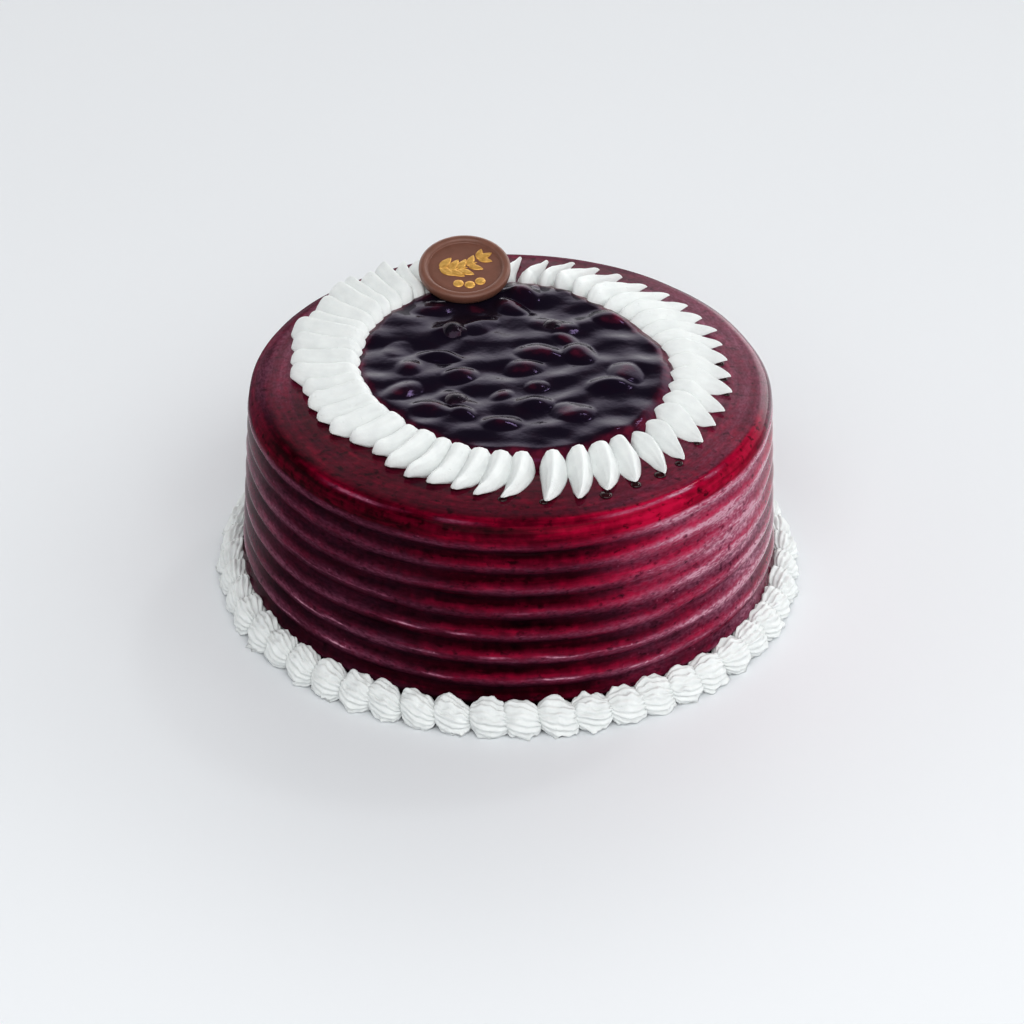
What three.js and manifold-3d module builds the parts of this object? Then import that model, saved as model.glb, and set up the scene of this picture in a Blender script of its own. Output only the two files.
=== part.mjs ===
// A round blueberry cake: a fluted body under dark berry glaze, a ring of piped cream petals round
// a pool of berry compote, a chocolate medallion lying on the petals at the back, and a border of
// piped cream shells round the foot.
// Millimetres, +Z up. The origin is the centre of the underside, and the front of the cake faces -Y.
// An azimuth is measured in degrees from the front, positive towards +X.

import * as THREE from 'three';
import { mergeVertices } from 'three/addons/utils/BufferGeometryUtils.js';
import Module from 'manifold-3d';

const wasm = await Module();
wasm.setup();

const GAP = 0.3; // clearance between pieces that touch
const WELD_DISTANCE = 1e-4; // vertices nearer than this are one
const CUTTER_SEGMENTS = 40; // sides of a round cutter
const SEEDS = { shells: 7, petals: 11, berries: 23 };

// Cake body
const CAKE_HEIGHT = 84.5;
const SIDE_RADIUS = 98.8; // at the topmost crest
const SIDE_TAPER = 0.055; // radius gained for each millimetre down the side
const SHOULDER_RADIUS = 5.5; // rounded upper edge
const SHOULDER_STEPS = 4;
const SHOULDER_GROOVE = 0.7; // depth of the groove under the rounded edge
const CREST_COUNT = 8;
const CREST_PITCH = 9.6;
const TOP_CREST_HEIGHT = 77.4;
const FLUTE_DEPTH = 1.6; // how far a flute is hollowed between two crests
const FLUTE_STEPS = 4;
const FOOT_RADIUS = 100.2;
const FOOT_HEIGHT = 7;
const BODY_SEGMENTS = 54;

// Cream petals, piped in runs: the first and last tail azimuth, and the reach of both ends
const PETAL_RUNS = [
  { from: -1.5, to: -45, count: 7, inner: [57, 53.5], tip: [81, 73.5] },
  { from: -54, to: -104, count: 8, inner: [52.5, 56], tip: [74, 84] },
  { from: -110, to: -155, count: 9, inner: [56.5, 62], tip: [85, 89] },
  { from: -161, to: -175, count: 3, inner: [62.5, 62.5], tip: [88, 87] },
  { from: -182, to: -252, count: 11, inner: [62, 57.5], tip: [87, 85] },
  { from: -260, to: -302, count: 6, inner: [57, 57.5], tip: [82, 82.5] },
  { from: -310, to: -350, count: 6, inner: [58.5, 58], tip: [85, 84.5] },
];
const PETAL_SWIRL = 5.5; // azimuth gained from a petal's tail to its head
const SWIRL_INNER = 57; // radius where the whole swirl is reached
const SWIRL_OUTER = 83; // radius where the swirl starts
const PETAL_HEIGHT = 10;
const PETAL_HALF_WIDTH = 5.8;
const PETAL_LEAF = { skew: 0.75, fullness: 0.7 }; // exponents of the leaf outline
const PETAL_HEAD_HALF_WIDTH = 1.3;
const PETAL_TIP_HALF_WIDTH = 0.7;
const PETAL_TIP_HEIGHT = 1.4;
const PETAL_HEAD_FALL = 0.45; // share of the height lost at the inner end
const PETAL_HEAD_LENGTH = 0.22; // share of the length over which the head rises
const PETAL_FLANK = { across: 0.8, up: 0.5 }; // point that rounds each flank of a petal
const PETAL_STATIONS = [0, 0.1, 0.3, 0.55, 0.8, 1];
const PETAL_UNEVEN = 0.12; // share by which petal heights differ

// Berry compote
const COMPOTE_CLEARANCE = 0.8;
const COMPOTE_EDGE_HEIGHT = 3.4;
const COMPOTE_DEPTH = 5.4;
const COMPOTE_SEGMENTS = 48;
const COMPOTE_RINGS = [0.95, 0.82, 0.67, 0.52, 0.37, 0.2]; // shares of the rim radius
const RIPPLE_HEIGHT = 1.1;
const RIPPLE_LENGTH = { across: 46, along: 21 };
const RIPPLE_BEND = 1.5; // how far the crests of the ripples wander
const RIPPLE_SLANT = 0.33; // how much each ripple swells and dies along its crest
const BERRY_RADIUS = 5.2;
const BERRY_UNEVEN = 0.15;
const BERRY_RISE = 3; // height of a berry's crown above the compote
const BERRY_FLOOR = 0.6; // height above the pool's underside at which berries end
const BERRY_PLACES = [
  [4, 53], [16, 29], [-22, 25], [-12, 29], [-27, 7], [-19, -7], [-38, -2],
  [-20, -23], [-3, -39], [5, -1], [10, 10], [26, 10], [37, -12], [23, -31],
  [9, -26], [37, 36], [43, -4], [-40, -18], [-29, -30], [0, 43], [-31, 42],
];

// Chocolate medallion
const MEDALLION_RADIUS = 17.8;
const MEDALLION_THICKNESS = 5;
const MEDALLION_RIM = 3.4;
const MEDALLION_RECESS = 1.4;
const MEDALLION_EDGE = 1; // rounding of the rim
const MEDALLION_TILT = 12.5; // degrees, with its back edge raised
const MEDALLION_LOW_EDGE = { x: -18.4, y: 44.5, z: 4.6 }; // front edge of the underside, above the cake's top
const MEDALLION_SEGMENTS = 40;
const PRESS_HEIGHT = 25; // room kept clear above the medallion's underside

// Cream shell border
const SHELL_COUNT = 52;
const SHELL_SWELL = [0, 0.85, 1, 0.6]; // notch, rise, head and tail: the sections of one shell
const BORDER_INNER_RADIUS = FOOT_RADIUS + 0.4;
const BORDER_CREST_RADIUS = 106.2;
const BORDER_OUTER_RADIUS = 112.3;
const BORDER_HEIGHT = 11.5;
const NOTCH_HEIGHT = 0.7; // share of the height left between two shells
const NOTCH_WIDTH = 0.76; // share of the outer reach left between two shells
const SHELL_FULLNESS = 0.8; // exponent below 1 makes the section fuller than an ellipse
const SHELL_RIDGE = 0.05; // share by which ridges stand out and grooves sink
const SHELL_RIDGE_ANGLES = [25, 50, 75, 100]; // grooves and ridges in turn, from the foot upwards
const SHELL_BACK_ANGLES = [125, 150]; // smooth back of the shells, against the cake
const SHELL_UNEVEN = 0.12;

const CREAM = { color: 0xf4f4f2, roughness: 0.6, metalness: 0 };
const GLAZE = { color: 0x4a0818, roughness: 0.15, metalness: 0 };
const COMPOTE = { color: 0x140a16, roughness: 0.12, metalness: 0 };
const CHOCOLATE = { color: 0x6e4436, roughness: 0.4, metalness: 0 };

const toRadians = THREE.MathUtils.degToRad;
const lerp = THREE.MathUtils.lerp;
const smoothstep = THREE.MathUtils.smoothstep;

// A repeatable stream of numbers from 0 to 1.
function seededRandom(seed) {
  let state = seed;
  return () => {
    state = (Math.imul(state, 1664525) + 1013904223) >>> 0;
    return state / 2 ** 32;
  };
}

// A value near 1, at most share above or below it.
function uneven(random, share) {
  return 1 + share * (2 * random() - 1);
}

function makeMesh(name, geometry, finish) {
  geometry.computeVertexNormals();
  const mesh = new THREE.Mesh(geometry, new THREE.MeshStandardMaterial(finish));
  mesh.name = name;
  return mesh;
}

// Joins shared vertices and drops the empty triangles that a turned profile has on its axis.
function weld(geometry) {
  geometry.deleteAttribute('normal');
  geometry.deleteAttribute('uv');
  const welded = mergeVertices(geometry, WELD_DISTANCE);
  const corners = welded.index.array;
  const kept = [];
  for (let i = 0; i < corners.length; i += 3) {
    const [a, b, c] = corners.slice(i, i + 3);
    if (a !== b && b !== c && c !== a) kept.push(a, b, c);
  }
  welded.setIndex(kept);
  return welded;
}

// Turns a profile of [radius, height] points round the Z axis, starting at the front.
function turn(profile, segments) {
  const points = profile.map(([radius, height]) => new THREE.Vector2(radius, height));
  const geometry = new THREE.LatheGeometry(points, segments);
  geometry.rotateX(Math.PI / 2);
  return weld(geometry);
}

// A disc round the Z axis between two heights, used to cut other pieces.
function plainDisc(radius, bottom, top) {
  return turn([[0, bottom], [radius, bottom], [radius, top], [0, top]], CUTTER_SEGMENTS);
}

// Moves each vertex of a turned piece to where place(azimuth, radius, height) puts it.
function reshape(geometry, place) {
  const position = geometry.attributes.position;
  for (let i = 0; i < position.count; i += 1) {
    const radius = Math.hypot(position.getX(i), position.getY(i));
    const azimuth = Math.atan2(position.getX(i), -position.getY(i));
    const moved = place(azimuth, radius, position.getZ(i));
    position.setXYZ(i, moved.radius * Math.sin(azimuth), -moved.radius * Math.cos(azimuth), moved.height);
  }
  return geometry;
}

function toSolid(geometry) {
  return new wasm.Manifold(new wasm.Mesh({
    numProp: 3,
    vertProperties: new Float32Array(geometry.attributes.position.array),
    triVerts: new Uint32Array(geometry.index.array),
  }));
}

function fromSolid(solid) {
  const mesh = solid.getMesh();
  const geometry = new THREE.BufferGeometry();
  geometry.setAttribute('position', new THREE.BufferAttribute(mesh.vertProperties, 3));
  geometry.setIndex(new THREE.BufferAttribute(mesh.triVerts, 1));
  return geometry;
}

// Side radius at the crests, growing towards the foot.
function crestRadius(height) {
  return SIDE_RADIUS + SIDE_TAPER * (TOP_CREST_HEIGHT - height);
}

// Profile of the cake from the centre of its underside to the centre of its top.
function bodyProfile() {
  const profile = [[0, 0], [FOOT_RADIUS, 0], [FOOT_RADIUS, FOOT_HEIGHT]];
  const lowestCrest = TOP_CREST_HEIGHT - (CREST_COUNT - 1) * CREST_PITCH;
  const steps = (CREST_COUNT - 1) * FLUTE_STEPS;
  for (let i = 0; i <= steps; i += 1) {
    const height = lowestCrest + (i / FLUTE_STEPS) * CREST_PITCH;
    const hollow = Math.abs(Math.sin((i / FLUTE_STEPS) * Math.PI));
    profile.push([crestRadius(height) - FLUTE_DEPTH * hollow, height]);
  }
  const shoulderHeight = CAKE_HEIGHT - SHOULDER_RADIUS;
  const shoulderCentre = SIDE_RADIUS - SHOULDER_GROOVE / 2 - SHOULDER_RADIUS;
  profile.push([SIDE_RADIUS - SHOULDER_GROOVE, (TOP_CREST_HEIGHT + shoulderHeight) / 2]);
  for (let i = 0; i <= SHOULDER_STEPS; i += 1) {
    const angle = (i / SHOULDER_STEPS) * (Math.PI / 2);
    profile.push([
      shoulderCentre + SHOULDER_RADIUS * Math.cos(angle),
      shoulderHeight + SHOULDER_RADIUS * Math.sin(angle),
    ]);
  }
  profile.push([0, CAKE_HEIGHT]);
  return profile;
}

function makeBody() {
  return makeMesh('cake_body', turn(bodyProfile(), BODY_SEGMENTS), GLAZE);
}

// Section of a full shell, anticlockwise from the back of its foot.
function shellProfile() {
  const profile = [[BORDER_INNER_RADIUS, 0], [BORDER_OUTER_RADIUS, 0]];
  const angles = [...SHELL_RIDGE_ANGLES, ...SHELL_BACK_ANGLES];
  angles.forEach((degrees, index) => {
    const across = Math.cos(toRadians(degrees));
    const reach = (across > 0 ? BORDER_OUTER_RADIUS : BORDER_INNER_RADIUS) - BORDER_CREST_RADIUS;
    const ridge = index % 2 ? SHELL_RIDGE : -SHELL_RIDGE;
    const relief = index < SHELL_RIDGE_ANGLES.length ? 1 + ridge : 1;
    profile.push([
      BORDER_CREST_RADIUS + reach * Math.abs(across) ** SHELL_FULLNESS * relief,
      BORDER_HEIGHT * Math.sin(toRadians(degrees)) ** SHELL_FULLNESS * relief,
    ]);
  });
  profile.push([BORDER_INNER_RADIUS, 0]);
  return profile;
}

// A rope of shells round the foot: the ring's section shrinks at each notch and swells at each head.
function makeBorder() {
  const random = seededRandom(SEEDS.shells);
  const sizes = Array.from({ length: SHELL_COUNT }, () => 1 - SHELL_UNEVEN * random());
  const stations = SHELL_COUNT * SHELL_SWELL.length;
  const ring = reshape(turn(shellProfile(), stations), (azimuth, radius, height) => {
    const station = Math.round((azimuth / (2 * Math.PI)) * stations + stations) % stations;
    const size = sizes[Math.floor(station / SHELL_SWELL.length)];
    const swell = size * SHELL_SWELL[station % SHELL_SWELL.length];
    const reach = radius - BORDER_CREST_RADIUS;
    const outer = reach > 0 ? reach * lerp(NOTCH_WIDTH, 1, swell) : reach;
    return { radius: BORDER_CREST_RADIUS + outer, height: height * lerp(NOTCH_HEIGHT, 1, swell) };
  });
  return makeMesh('shell_border', ring, CREAM);
}

// All petals in order, each with its tail azimuth, reach and the room to its two neighbours.
function planPetals() {
  const random = seededRandom(SEEDS.petals);
  const petals = [];
  for (const run of PETAL_RUNS) {
    for (let i = 0; i < run.count; i += 1) {
      const along = i / (run.count - 1);
      petals.push({
        tail: lerp(run.from, run.to, along),
        inner: lerp(...run.inner, along),
        tip: lerp(...run.tip, along),
        height: PETAL_HEIGHT * uneven(random, PETAL_UNEVEN),
      });
    }
  }
  petals.forEach((petal, index) => {
    const before = petals[(index + petals.length - 1) % petals.length];
    const after = petals[(index + 1) % petals.length];
    petal.roomRight = ((before.tail - petal.tail + 360) % 360) / 2;
    petal.roomLeft = ((petal.tail - after.tail + 360) % 360) / 2;
  });
  return petals;
}

// Half width of a petal's leaf outline, at a share of its length from the head to the tip.
function petalHalfWidth(along) {
  const leaf = PETAL_HALF_WIDTH * Math.sin(Math.PI * along ** PETAL_LEAF.skew) ** PETAL_LEAF.fullness;
  return Math.max(leaf, lerp(PETAL_HEAD_HALF_WIDTH, PETAL_TIP_HALF_WIDTH, along));
}

// Height of a petal's keel: it rises over the head and falls in a curve to the tip.
function petalKeel(along, height) {
  const head = 1 - PETAL_HEAD_FALL * (1 - smoothstep(along, 0, PETAL_HEAD_LENGTH));
  return PETAL_TIP_HEIGHT + (height - PETAL_TIP_HEIGHT) * head * (1 - along ** 2);
}

// Five-sided section of a petal, from its right foot over the keel to its left foot.
function petalSection(petal, along) {
  const radius = lerp(petal.inner, petal.tip, along);
  const swirl = PETAL_SWIRL * (SWIRL_OUTER - radius) / (SWIRL_OUTER - SWIRL_INNER);
  const spare = THREE.MathUtils.radToDeg(GAP / 2 / radius);
  const natural = THREE.MathUtils.radToDeg(petalHalfWidth(along) / radius);
  const right = Math.min(natural, petal.roomRight - spare);
  const left = Math.min(natural, petal.roomLeft - spare);
  const keel = petalKeel(along, petal.height);
  const place = (offset, height) => {
    const azimuth = toRadians(swirl + offset);
    return new THREE.Vector3(radius * Math.sin(azimuth), -radius * Math.cos(azimuth), height);
  };
  return [
    place(right, 0),
    place(right * PETAL_FLANK.across, keel * PETAL_FLANK.up),
    place(0, keel),
    place(-left * PETAL_FLANK.across, keel * PETAL_FLANK.up),
    place(-left, 0),
  ];
}

// Skins a row of sections that have the same number of points, and closes both ends.
function loft(sections) {
  const size = sections[0].length;
  const indices = [];
  for (let s = 0; s < sections.length - 1; s += 1) {
    for (let p = 0; p < size; p += 1) {
      const a = s * size + p;
      const b = s * size + ((p + 1) % size);
      indices.push(a, b, a + size, b, b + size, a + size);
    }
  }
  const last = (sections.length - 1) * size;
  for (let p = 1; p < size - 1; p += 1) {
    indices.push(0, p + 1, p);
    indices.push(last, last + p, last + p + 1);
  }
  const geometry = new THREE.BufferGeometry().setFromPoints(sections.flat());
  geometry.setIndex(indices);
  return geometry;
}

// Petals stand at their tail azimuth; those under the medallion are pressed down by it.
function makePetals(petals, press) {
  return petals.map((petal, index) => {
    let geometry = loft(PETAL_STATIONS.map((along) => petalSection(petal, along)));
    const azimuth = toRadians(petal.tail);
    const pressHere = toSolid(press.clone().rotateZ(-azimuth));
    const solid = toSolid(geometry);
    if (solid.intersect(pressHere).volume() > 0) geometry = fromSolid(solid.subtract(pressHere));
    const mesh = makeMesh(`petal_${String(index + 1).padStart(2, '0')}`, geometry, CREAM);
    mesh.rotation.z = azimuth;
    return mesh;
  });
}

// Radius of the compote's rim at an azimuth, just inside the petals' heads.
function compoteRim(petals, azimuth) {
  const degrees = THREE.MathUtils.radToDeg(azimuth);
  const angleFrom = (petal) => Math.abs(THREE.MathUtils.euclideanModulo(
    degrees - petal.tail - PETAL_SWIRL + 180, 360) - 180);
  const [near, next] = [...petals].sort((a, b) => angleFrom(a) - angleFrom(b));
  return Math.min(near.inner, next.inner) - COMPOTE_CLEARANCE;
}

// Rolling surface of the compote.
function ripple(x, y) {
  const across = (2 * Math.PI * x) / RIPPLE_LENGTH.across;
  const along = (2 * Math.PI * y) / RIPPLE_LENGTH.along;
  const swell = Math.cos(across - RIPPLE_SLANT * along);
  return RIPPLE_HEIGHT * swell * Math.sin(along + RIPPLE_BEND * Math.sin(across));
}

function compotePool(petals) {
  const profile = [[0, 0], [1, 0], [1, COMPOTE_EDGE_HEIGHT]];
  for (const share of COMPOTE_RINGS) profile.push([share, COMPOTE_DEPTH]);
  profile.push([0, COMPOTE_DEPTH]);
  return reshape(turn(profile, COMPOTE_SEGMENTS), (azimuth, share, height) => {
    const radius = share * compoteRim(petals, azimuth);
    const lift = height === COMPOTE_DEPTH
      ? ripple(radius * Math.sin(azimuth), -radius * Math.cos(azimuth))
      : 0;
    return { radius, height: height + lift };
  });
}

// A berry that shows at the compote's surface, cut off flat just inside the pool.
function makeBerry(x, y, radius) {
  const berry = weld(new THREE.IcosahedronGeometry(radius, 1));
  berry.translate(x, y, COMPOTE_DEPTH + ripple(x, y) + BERRY_RISE - radius);
  const below = plainDisc(SIDE_RADIUS, -CAKE_HEIGHT, BERRY_FLOOR);
  return toSolid(berry).subtract(toSolid(below));
}

// The pool with its berries, dented by the medallion's front edge.
function makeCompote(petals, press) {
  const random = seededRandom(SEEDS.berries);
  let solid = toSolid(compotePool(petals));
  for (const [x, y] of BERRY_PLACES) {
    solid = solid.add(makeBerry(x, y, BERRY_RADIUS * uneven(random, BERRY_UNEVEN)));
  }
  return makeMesh('berry_compote', fromSolid(solid.subtract(toSolid(press))), COMPOTE);
}

// Disc with a rounded rim and a sunk face, its underside at height 0.
function medallionProfile() {
  const top = MEDALLION_THICKNESS;
  const face = top - MEDALLION_RECESS;
  const inner = MEDALLION_RADIUS - MEDALLION_RIM;
  return [
    [0, 0],
    [MEDALLION_RADIUS - MEDALLION_EDGE, 0],
    [MEDALLION_RADIUS, MEDALLION_EDGE],
    [MEDALLION_RADIUS, top - MEDALLION_EDGE],
    [MEDALLION_RADIUS - MEDALLION_EDGE, top],
    [inner + MEDALLION_EDGE, top],
    [inner, face],
    [0, face],
  ];
}

// Puts a piece made round the medallion's axis where the medallion lies above the cake's top.
function layMedallion(object) {
  const tilt = toRadians(MEDALLION_TILT);
  object.rotation.x = tilt;
  object.position.set(
    MEDALLION_LOW_EDGE.x,
    MEDALLION_LOW_EDGE.y + MEDALLION_RADIUS * Math.cos(tilt),
    MEDALLION_LOW_EDGE.z + MEDALLION_RADIUS * Math.sin(tilt),
  );
  object.updateMatrix();
  return object;
}

function makeMedallion() {
  return layMedallion(makeMesh('medallion', turn(medallionProfile(), MEDALLION_SEGMENTS), CHOCOLATE));
}

// The room that the medallion takes up, with clearance, and all that is above it.
function medallionPress() {
  const radius = MEDALLION_RADIUS + GAP;
  const room = plainDisc(radius, -GAP, PRESS_HEIGHT);
  return room.applyMatrix4(layMedallion(new THREE.Object3D()).matrix);
}

const petals = planPetals();
const press = medallionPress();

const topping = new THREE.Group();
topping.position.z = CAKE_HEIGHT + GAP;
topping.add(...makePetals(petals, press), makeCompote(petals, press), makeMedallion());

const cake = new THREE.Group();
cake.add(makeBody(), makeBorder(), topping);

export default cake;
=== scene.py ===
"""Looks of a round blueberry cake: a fluted body under dark berry glaze, a ring of piped cream
petals round a pool of berry compote, a chocolate medallion at the back, and a border of piped
cream shells round the foot.

Sizes are in millimetres and become metres when a mesh is made. The front of the cake faces -Y,
and an azimuth is measured in degrees from the front, positive towards +X. A pair named for a fade
holds the value where it starts and the value where it is complete. Rows of unevenness hold the
height, the wavelength and the seed of a noise.
"""

import math
import random
from types import SimpleNamespace

import bmesh
import bpy
import numpy as np
from mathutils import Matrix, Vector, noise


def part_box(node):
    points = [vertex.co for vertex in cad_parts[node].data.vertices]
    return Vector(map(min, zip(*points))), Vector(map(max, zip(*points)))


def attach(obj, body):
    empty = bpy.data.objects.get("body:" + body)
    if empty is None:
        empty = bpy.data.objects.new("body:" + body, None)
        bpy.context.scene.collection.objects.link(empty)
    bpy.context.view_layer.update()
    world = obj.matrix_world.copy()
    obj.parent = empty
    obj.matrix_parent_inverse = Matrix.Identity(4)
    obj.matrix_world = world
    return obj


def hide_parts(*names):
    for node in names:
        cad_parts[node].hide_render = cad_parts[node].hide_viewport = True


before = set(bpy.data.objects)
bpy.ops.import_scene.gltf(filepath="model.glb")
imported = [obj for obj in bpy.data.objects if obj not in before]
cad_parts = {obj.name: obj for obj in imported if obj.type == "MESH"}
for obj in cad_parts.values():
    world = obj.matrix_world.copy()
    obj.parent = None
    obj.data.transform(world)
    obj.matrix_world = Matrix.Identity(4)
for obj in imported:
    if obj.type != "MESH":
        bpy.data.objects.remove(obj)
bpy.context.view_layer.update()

MM = 0.001
BODY = "root"
SEEDS = {"petals": 41, "drops": 11, "compote": 23, "berries": 5, "shells": 7}

# Cake body
CAKE_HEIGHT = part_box("cake_body")[1].z / MM
SIDE_RADIUS = 98.8  # at the topmost crest
SIDE_TAPER = 0.055  # radius gained for each millimetre down the side
SHOULDER_RADIUS = 5.5
SHOULDER_GROOVE = 0.7
SHOULDER_START = SIDE_RADIUS - SHOULDER_GROOVE / 2 - SHOULDER_RADIUS  # radius where the top bends down
CREST_COUNT = 8
CREST_PITCH = 9.6
TOP_CREST_HEIGHT = 77.4
FLUTE_DEPTH = 1.6
FLUTE_UNEVEN = ((0.25, (40, 40, 12), 1),)  # as a share of the depth
FLUTE_RISE = ((0.55, (45, 45, 60), 3),)  # how far crests wander up and down
CREST_PLACE = 0.1  # share of the pitch at which a crest stands out
CREASE_PLACE = 0.5  # share of the pitch at which the crease lies
FACE_CURVE = 1.5  # exponent of the face over a crease
SMEAR_SHARE = 0.4  # depth lost where the flutes are smeared
SMEAR = (("azimuth", 5, 25), ("azimuth", 75, 50), ("z", 34, 44), ("z", 76, 66))
FOOT_RADIUS = 100.2
FOOT_HEIGHT = 7
SKIN_UNEVEN = ((0.28, 14, 2),)
TOP_DOME = 1.1  # how far the top falls towards the shoulder
TOP_DOME_START = 60
TOP_DOME_HEIGHTS = (70, 79)
TOP_RIPPLE = ((0.12, (18, 18, 40), 5),)
TOP_HIDDEN_RADII = (8, 22, 36)
TOP_VISIBLE_RADIUS = 46
UNDERSIDE_SHARES = (0.7, 0.3)
BODY_COLUMNS = 360
FLUTE_ROWS = 22
SHOULDER_ROWS = 14
TOP_ROWS = 40

# Glaze from one crest (0) over the crease to the next crest (1): how thin the gel lies, with painted shade
# in the crease and painted light on the right, and how hazy its skin is, with a painted sheen of reflections
FLUTE_PLACES = (0, 0.1, 0.2, 0.3, 0.42, 0.5, 0.7, 0.8, 0.9, 1)
# Gel: pooled and darkened by painted shade in the crease; the right side's profile is lighter because light
# is painted there
FRONT_GEL_AND_SHADE = (0.56, 0.5, 0.38, 0.28, 0.2, 0.1, 0.18, 0.36, 0.5, 0.56)
RIGHT_GEL_AND_LIGHT = (0.85, 0.8, 0.7, 0.62, 0.56, 0.5, 0.55, 0.66, 0.8, 0.85)
# Hazy skin with a painted sheen: pale reflections of the floor below the crests, strongest on the lit right
FRONT_HAZE_AND_SHEEN = (0.1, 0.24, 0.24, 0.15, 0.08, 0.02, 0, 0, 0.03, 0.1)
RIGHT_HAZE_AND_SHEEN = (0.9, 1.1, 1, 0.85, 0.74, 0.66, 0.48, 0.4, 0.52, 0.9)
LEFT_HAZE_AND_SHEEN = (0.36, 0.42, 0.33, 0.24, 0.17, 0.1, 0.09, 0.13, 0.22, 0.36)
RAGGED = ((0.05, (30, 30, 40), 12), (0.06, (7, 7, 5), 13))  # how far these bands wander

# Stretches of the glaze: a coordinate, the value where the stretch fades in and where it is complete
RIGHT_END = ("azimuth", 175, 135)
RIGHT = (("azimuth", 2, 42), RIGHT_END)
LEFT = (("azimuth", -4, -38), ("azimuth", -175, -135))
FRONT_LEFT = (("azimuth", 0, -25), ("azimuth", -75, -45))
LOW = ("z", 56, 34)
BEHIND = ("y", -40, 60)

# Sums of amounts, each followed by the stretches that it is limited to
# Gel on the top, lighter towards the front right where light is painted
TOP_GEL_AND_LIGHT = ((0.42,), (-0.04, BEHIND), (0.1, ("x", 0, 70), ("y", 20, -40)))
# The shoulder's red band: thin clear gel, brighter on the front right where light is painted
SHOULDER_GEL_AND_LIGHT = (
    (0.35,),
    (0.1, ("azimuth", -70, -10), ("azimuth", 90, 55)),
    (0.36, *RIGHT, ("azimuth", 90, 55)),
    (0.17, ("azimuth", 3, 14), ("azimuth", 50, 28)),
)
# Painted light: the flutes lighter on the lit right side
RIGHT_PAINTED_LIGHT = ((0.12, *RIGHT),)
# Hazy skin with a painted sheen: a painted reflection of the bright room on the top, behind and on the
# right, and pale painted reflections where the shoulder turns away at the far sides
TOP_HAZE_AND_SHEEN = ((0.05,), (0.24, BEHIND), (0.16, ("x", 0, 80)), (0.3, BEHIND, ("x", 0, -80)))
SHOULDER_HAZE_AND_SHEEN = ((0.24, ("turn", 60, 95)), (0.1, ("azimuth", 60, 90), RIGHT_END))
UPPER_EXTRA_HAZE_AND_SHEEN = ((0.25, ("z", 70, 76), ("azimuth", 25, 45), RIGHT_END),)
# Strength of the painted highlight along the crests, strongest low down
CREST_HIGHLIGHT_STRENGTH = ((0.2,), (0.75, LOW))
# Painted highlight along the shoulder's inner edge: strong on the right, faint on the left
GLINT = (
    (1, ("azimuth", 16, 26), ("azimuth", 58, 46)),
    (0.6, ("azimuth", -48, -38), ("azimuth", -2, -14)),
)
TOP_WET = ((0.34,), (0.14, ("x", -50, 30)), (-0.1, ("y", 0, 70)))
SHOULDER_WET = ((0.06,), (0.04, *RIGHT), (0.8, ("azimuth", 66, 84), ("azimuth", 150, 115)))
SIDE_WET = (
    (0.03,),
    (0.5, ("turn", 52, 78), ("turn", 150, 115)),
    (0.4, *RIGHT, ("turn", 52, 78), ("turn", 150, 115)),
)
# Extra gloss in proportion to the hazy skin and its painted sheen
HAZE_AND_SHEEN_WET = 0.3

# Products of such sums
# Painted light: how far the flutes take the lighter right profile, high up on the lit right side
UPPER_RIGHT_PAINTED_LIGHT = (
    ((1, *RIGHT),),
    ((1,), (-0.7, ("z", 56, 40))),
    ((1,), (-0.6, ("azimuth", 68, 95))),
)
# Painted shade: the flutes darker on the left, on the front left and low by the foot
SIDE_PAINTED_SHADE = (
    ((1,), (-0.4, *LEFT)),
    ((1,), (-0.2, *FRONT_LEFT)),
    ((1, ("z", 4, 15)),),
)
# Hazy skin with a painted sheen: how far the flutes take the right and left profiles, less on the front
# left, none by the foot, less far back on the top
FAR_RIGHT_HAZE_AND_SHEEN = (
    ((1, ("azimuth", 12, 52), RIGHT_END),),
    ((1,), (-0.35, LOW, ("azimuth", 65, 40))),
    ((1,), (0.36, ("azimuth", 40, 58)), (-0.18, ("azimuth", 40, 58), LOW)),
    ((1,), (-0.55, ("azimuth", 58, 85))),
)
FAR_LEFT_HAZE_AND_SHEEN = (((1, *LEFT),), ((1,), (0.4, ("azimuth", -45, -62))))
FRONT_LEFT_HAZE_AND_SHEEN_SHARE = ((1,), (-0.3, *FRONT_LEFT))
FOOT_HAZE_AND_SHEEN_SHARE = ((1, ("z", 5, 14)),)
BACK_HAZE_AND_SHEEN_SHARE = ((1,), (-0.5, ("y", 62, 82)))

# Streaks along the glaze: width, length and seed
GEL_STREAK = (4, 36, 4)
GEL_STREAK_AMOUNT = 0.14
GEL_STREAK_SHOULDER = 0.16
# Streaks of the hazy skin and its painted sheen
HAZE_AND_SHEEN_STREAK = (5, 40, 8)
HAZE_AND_SHEEN_STREAK_MEAN = 0.9
HAZE_AND_SHEEN_STREAK_AMOUNT = 0.8
HAZE_AND_SHEEN_STREAK_LIMITS = (0.2, 1.4)
TOP_STREAK = (3, 50, 10)
TOP_STREAK_AMOUNT = 0.5
# Painted highlight along each crest: its streaks, breaks and width
CREST_HIGHLIGHT_STREAK = (8, 16, 9)
CREST_HIGHLIGHT_FADE = (-0.1, 0.35)
CREST_HIGHLIGHT_WIDTH = 0.05
# Painted highlight along the shoulder: its streaks, breaks, radius and width
GLINT_STREAK = (12, 14, 14)
GLINT_FADE = (-0.45, 0.1)
GLINT_RADIUS = 95.2
GLINT_WIDTH = 0.6
# The shoulder's band of clear gel also carries painted light on the front right
CLEAR_EDGE = (-4, 0.5)  # radii at which the shoulder's clear gel fades in, from the shoulder's start
CLEAR_EDGE_RIGHT = (4.2, 1.2)  # how far they move outwards on the right

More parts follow.
